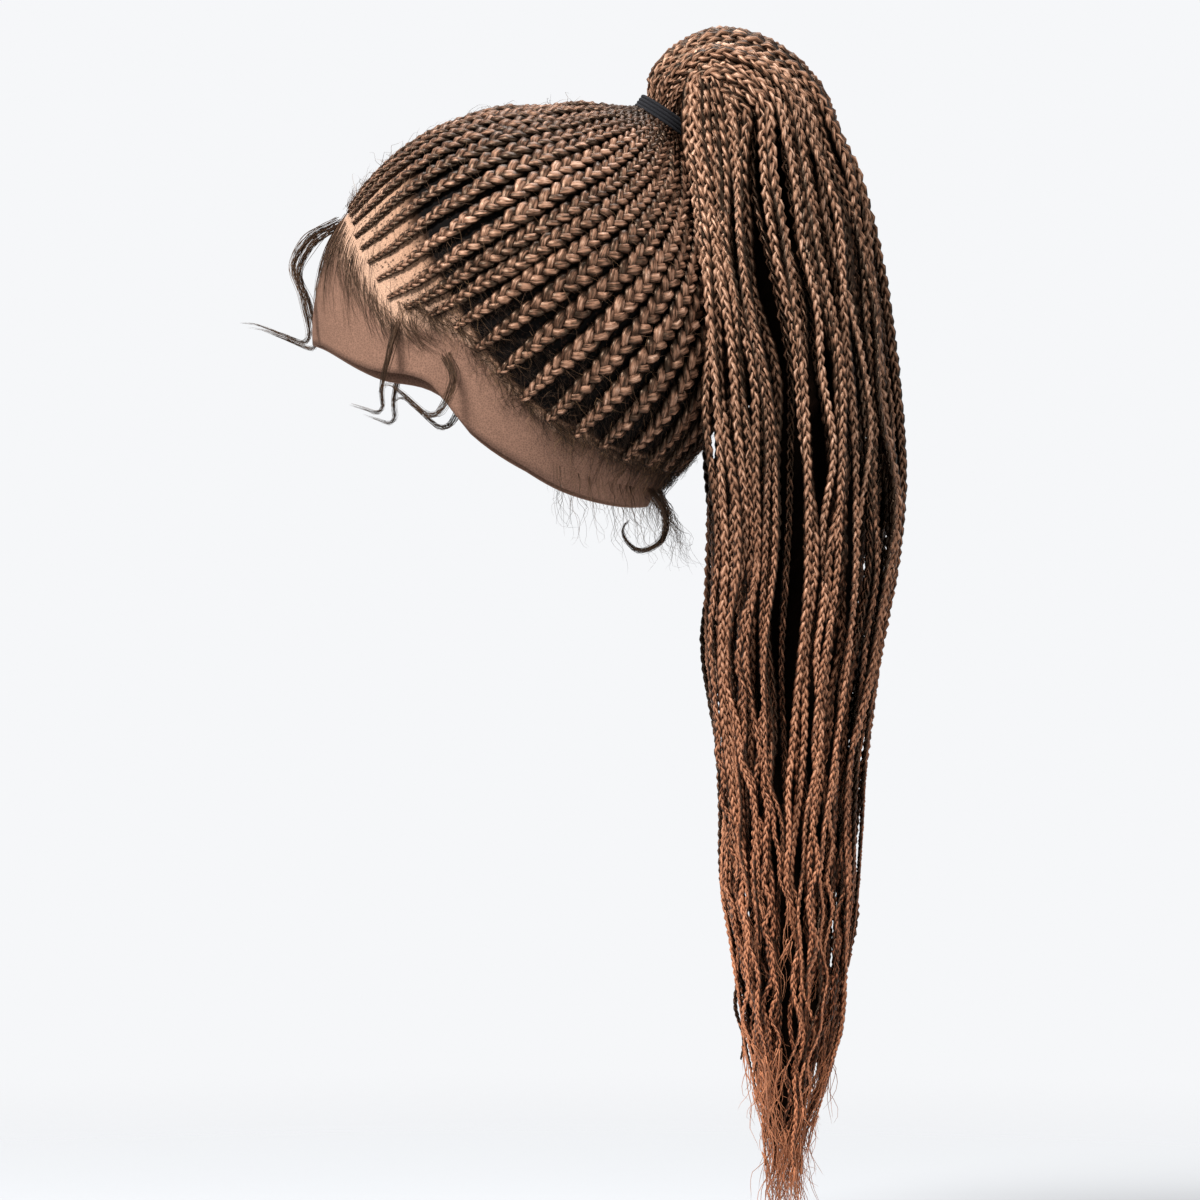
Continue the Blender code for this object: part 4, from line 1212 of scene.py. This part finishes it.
for name, curl, reach, azimuth, share in BABY_HAIR:
    for side, word in ((1, "left"), (-1, "right")):
        root = cap_point(radians(azimuth) * side, polar_at_depth(share), 0.0012)
        places = np.array([(a * side, -b, -c) for a, b, c in curl])
        line = smooth_path(root + places * reach, 0.0020)
        fade = 1.0 - 0.80 * np.linspace(0, 1, len(line))[:, None] ** 0.8
        lock = Bundle()
        for _ in range(CURL_HAIRS):
            beside = draws.normal(0, 0.45, 3) * LOCK_SPREAD
            loose = np.stack([waves(lengths_along(line), 2, 0.02, 0.06) for _ in range(3)], -1) * 0.0009
            cut = int(len(line) * draws.uniform(0.78, 1.0))
            points = (line + beside * fade + loose * fade)[:cut:2]
            hair_tube(lock, points, HAIR_RADIUS, draws.uniform(0, 1), CURL_STEP)
        node = f"baby_hair_{name}_{word}"
        finish_piece(f"baby_curl_{name}_{word}", lock.mesh(node + "_hairs"), fine_hair, "baby_hair", node)

# %% [markdown]
# ### Brushed hair and frizz
# Finer hair lies flat on the lace below the hairline, and short fibres stand up along the rows. Both are
# small, but without them the rows look moulded.

# %% Loose hairs
FRINGE_HAIRS = 480
EDGE_HAIRS = 1000
FRIZZ_HAIRS = 2200
UNDERGROWTH_HAIRS = 2200
NAPE_WISPS = 180

loose = Bundle()
for _ in range(FRINGE_HAIRS):
    azimuth = draws.uniform(0, 62) * draws.choice((-1, 1))
    top = table_value(HAIRLINE, abs(azimuth), 1) + draws.uniform(0.015, 0.060)
    edge = table_value(LACE_EDGE, abs(azimuth), 1) - 0.02
    share = np.linspace(top, top + (edge - top) * draws.uniform(0.35, 0.85), 8)
    sweep = np.sign(azimuth) * draws.uniform(2, 12) * np.linspace(0, 1, 8) ** 1.5 + draws.normal(0, 1.5)
    lift = 0.0004 + 0.0016 * sin(np.linspace(0.15, 1, 8) * pi) * draws.uniform(0.2, 1)
    hair_tube(loose, cap_point(radians(azimuth + sweep), polar_at_depth(share), lift), HAIR_RADIUS * 0.9,
              draws.uniform(0, 1))
for _ in range(EDGE_HAIRS):
    azimuth = draws.uniform(55, 180) * draws.choice((-1, 1))
    top = table_value(HAIRLINE, abs(azimuth), 1) - 0.012
    share = np.linspace(top, top + draws.uniform(0.03, 0.07 + 0.12 * draws.uniform(0, 1) ** 2), 9)
    sweep = np.sign(azimuth) * draws.uniform(-6, 12) * np.linspace(0, 1, 9) ** 1.5
    sweep = sweep + draws.uniform(0.5, 3.0) * waves(share, 2, 0.03, 0.1)
    lift = 0.0004 + 0.0034 * np.linspace(0, 1, 9) * draws.uniform(0, 1)
    hair_tube(loose, cap_point(radians(azimuth + sweep), polar_at_depth(share), lift), HAIR_RADIUS * 0.8,
              draws.uniform(-0.2, 1.6))
for _ in range(FRIZZ_HAIRS):
    path, outs = row_starts[draws.integers(len(row_starts))]
    at = int(len(path) * draws.uniform(0, 0.85) ** 1.6)
    along, out, across = frame_of(path[at:at + 3], outs[at:at + 3])
    reach = draws.uniform(0.004, 0.014)
    share = np.linspace(0, 1, 6)[:, None]
    bend = across[0] * draws.normal(0, 0.8) + along[0] * draws.uniform(-0.4, 1.0)
    stand = out[0] * draws.uniform(0.10, 0.50)
    curl = np.stack([waves(share[:, 0], 2, 0.5, 1.4) for _ in range(3)], -1) * 0.14 * share
    points = path[at] + out[0] * 0.0010 + reach * (bend * share + stand * share * (1.4 - share) + curl)
    hair_tube(loose, points, HAIR_RADIUS * 0.75, draws.uniform(0.2, 1.3))
finish_piece("loose_hair", loose.mesh("loose_hair"), fine_hair, "baby_hair")

# Where the lower rows begin, short curly hair fills the gaps between them and covers their starts. Most of
# it is coloured near-black, as painted shade in the gaps.
undergrowth = Bundle()
for _ in range(UNDERGROWTH_HAIRS):
    azimuth = draws.uniform(62, 180) * draws.choice((-1, 1))
    top = table_value(HAIRLINE, abs(azimuth), 1) + 0.015 - 0.20 * draws.uniform(0, 1) ** 1.7
    reach = draws.uniform(0.03, 0.10)
    share = np.linspace(0, 1, 8)
    heading = draws.uniform(0, 2 * pi)
    curl = waves(share, 2, 0.4, 1.2) * 0.02
    sweep = 1.4 * degrees(reach * share * cos(heading) + curl) + degrees(0.02) * waves(share, 2, 0.4, 1.2)
    lift = 0.0006 + 0.0050 * draws.uniform(0, 1) * sin(np.linspace(0.1, 2.6, 8))
    places = polar_at_depth(top + reach * share * sin(heading) + curl)
    # Most of these hairs take the darkest tone: painted shade in the gaps between the rows
    hair_tube(undergrowth, cap_point(radians(azimuth + sweep), places, lift), HAIR_RADIUS * 0.8,
              -1.3 + 2.9 * draws.uniform(0, 1) ** 4)
for _ in range(NAPE_WISPS):
    azimuth = (180 - 80 * draws.uniform(0, 1) ** 1.6) * draws.choice((-1, 1))
    root = cap_point(radians(azimuth), polar_at_depth(table_value(LACE_EDGE, abs(azimuth), 1) - 0.05), 0.001)
    out = head_normal(radians(azimuth), pi / 2)
    reach = draws.uniform(0.010, 0.036)
    run = np.linspace(0, reach, 14)
    sway = np.stack([waves(run, 2, 0.008, 0.024) for _ in range(3)], -1) * 0.0042 * (run / reach)[:, None]
    line = root + out * run[:, None] * draws.uniform(0.05, 0.6) - np.array((0.0, 0.0, 1.0)) * run[:, None]
    hair_tube(undergrowth, line + sway, HAIR_RADIUS * 0.8, draws.uniform(0.2, 1.2))
finish_piece("short_hair_at_rows", undergrowth.mesh("short_hair_at_rows"), fine_hair, "baby_hair")
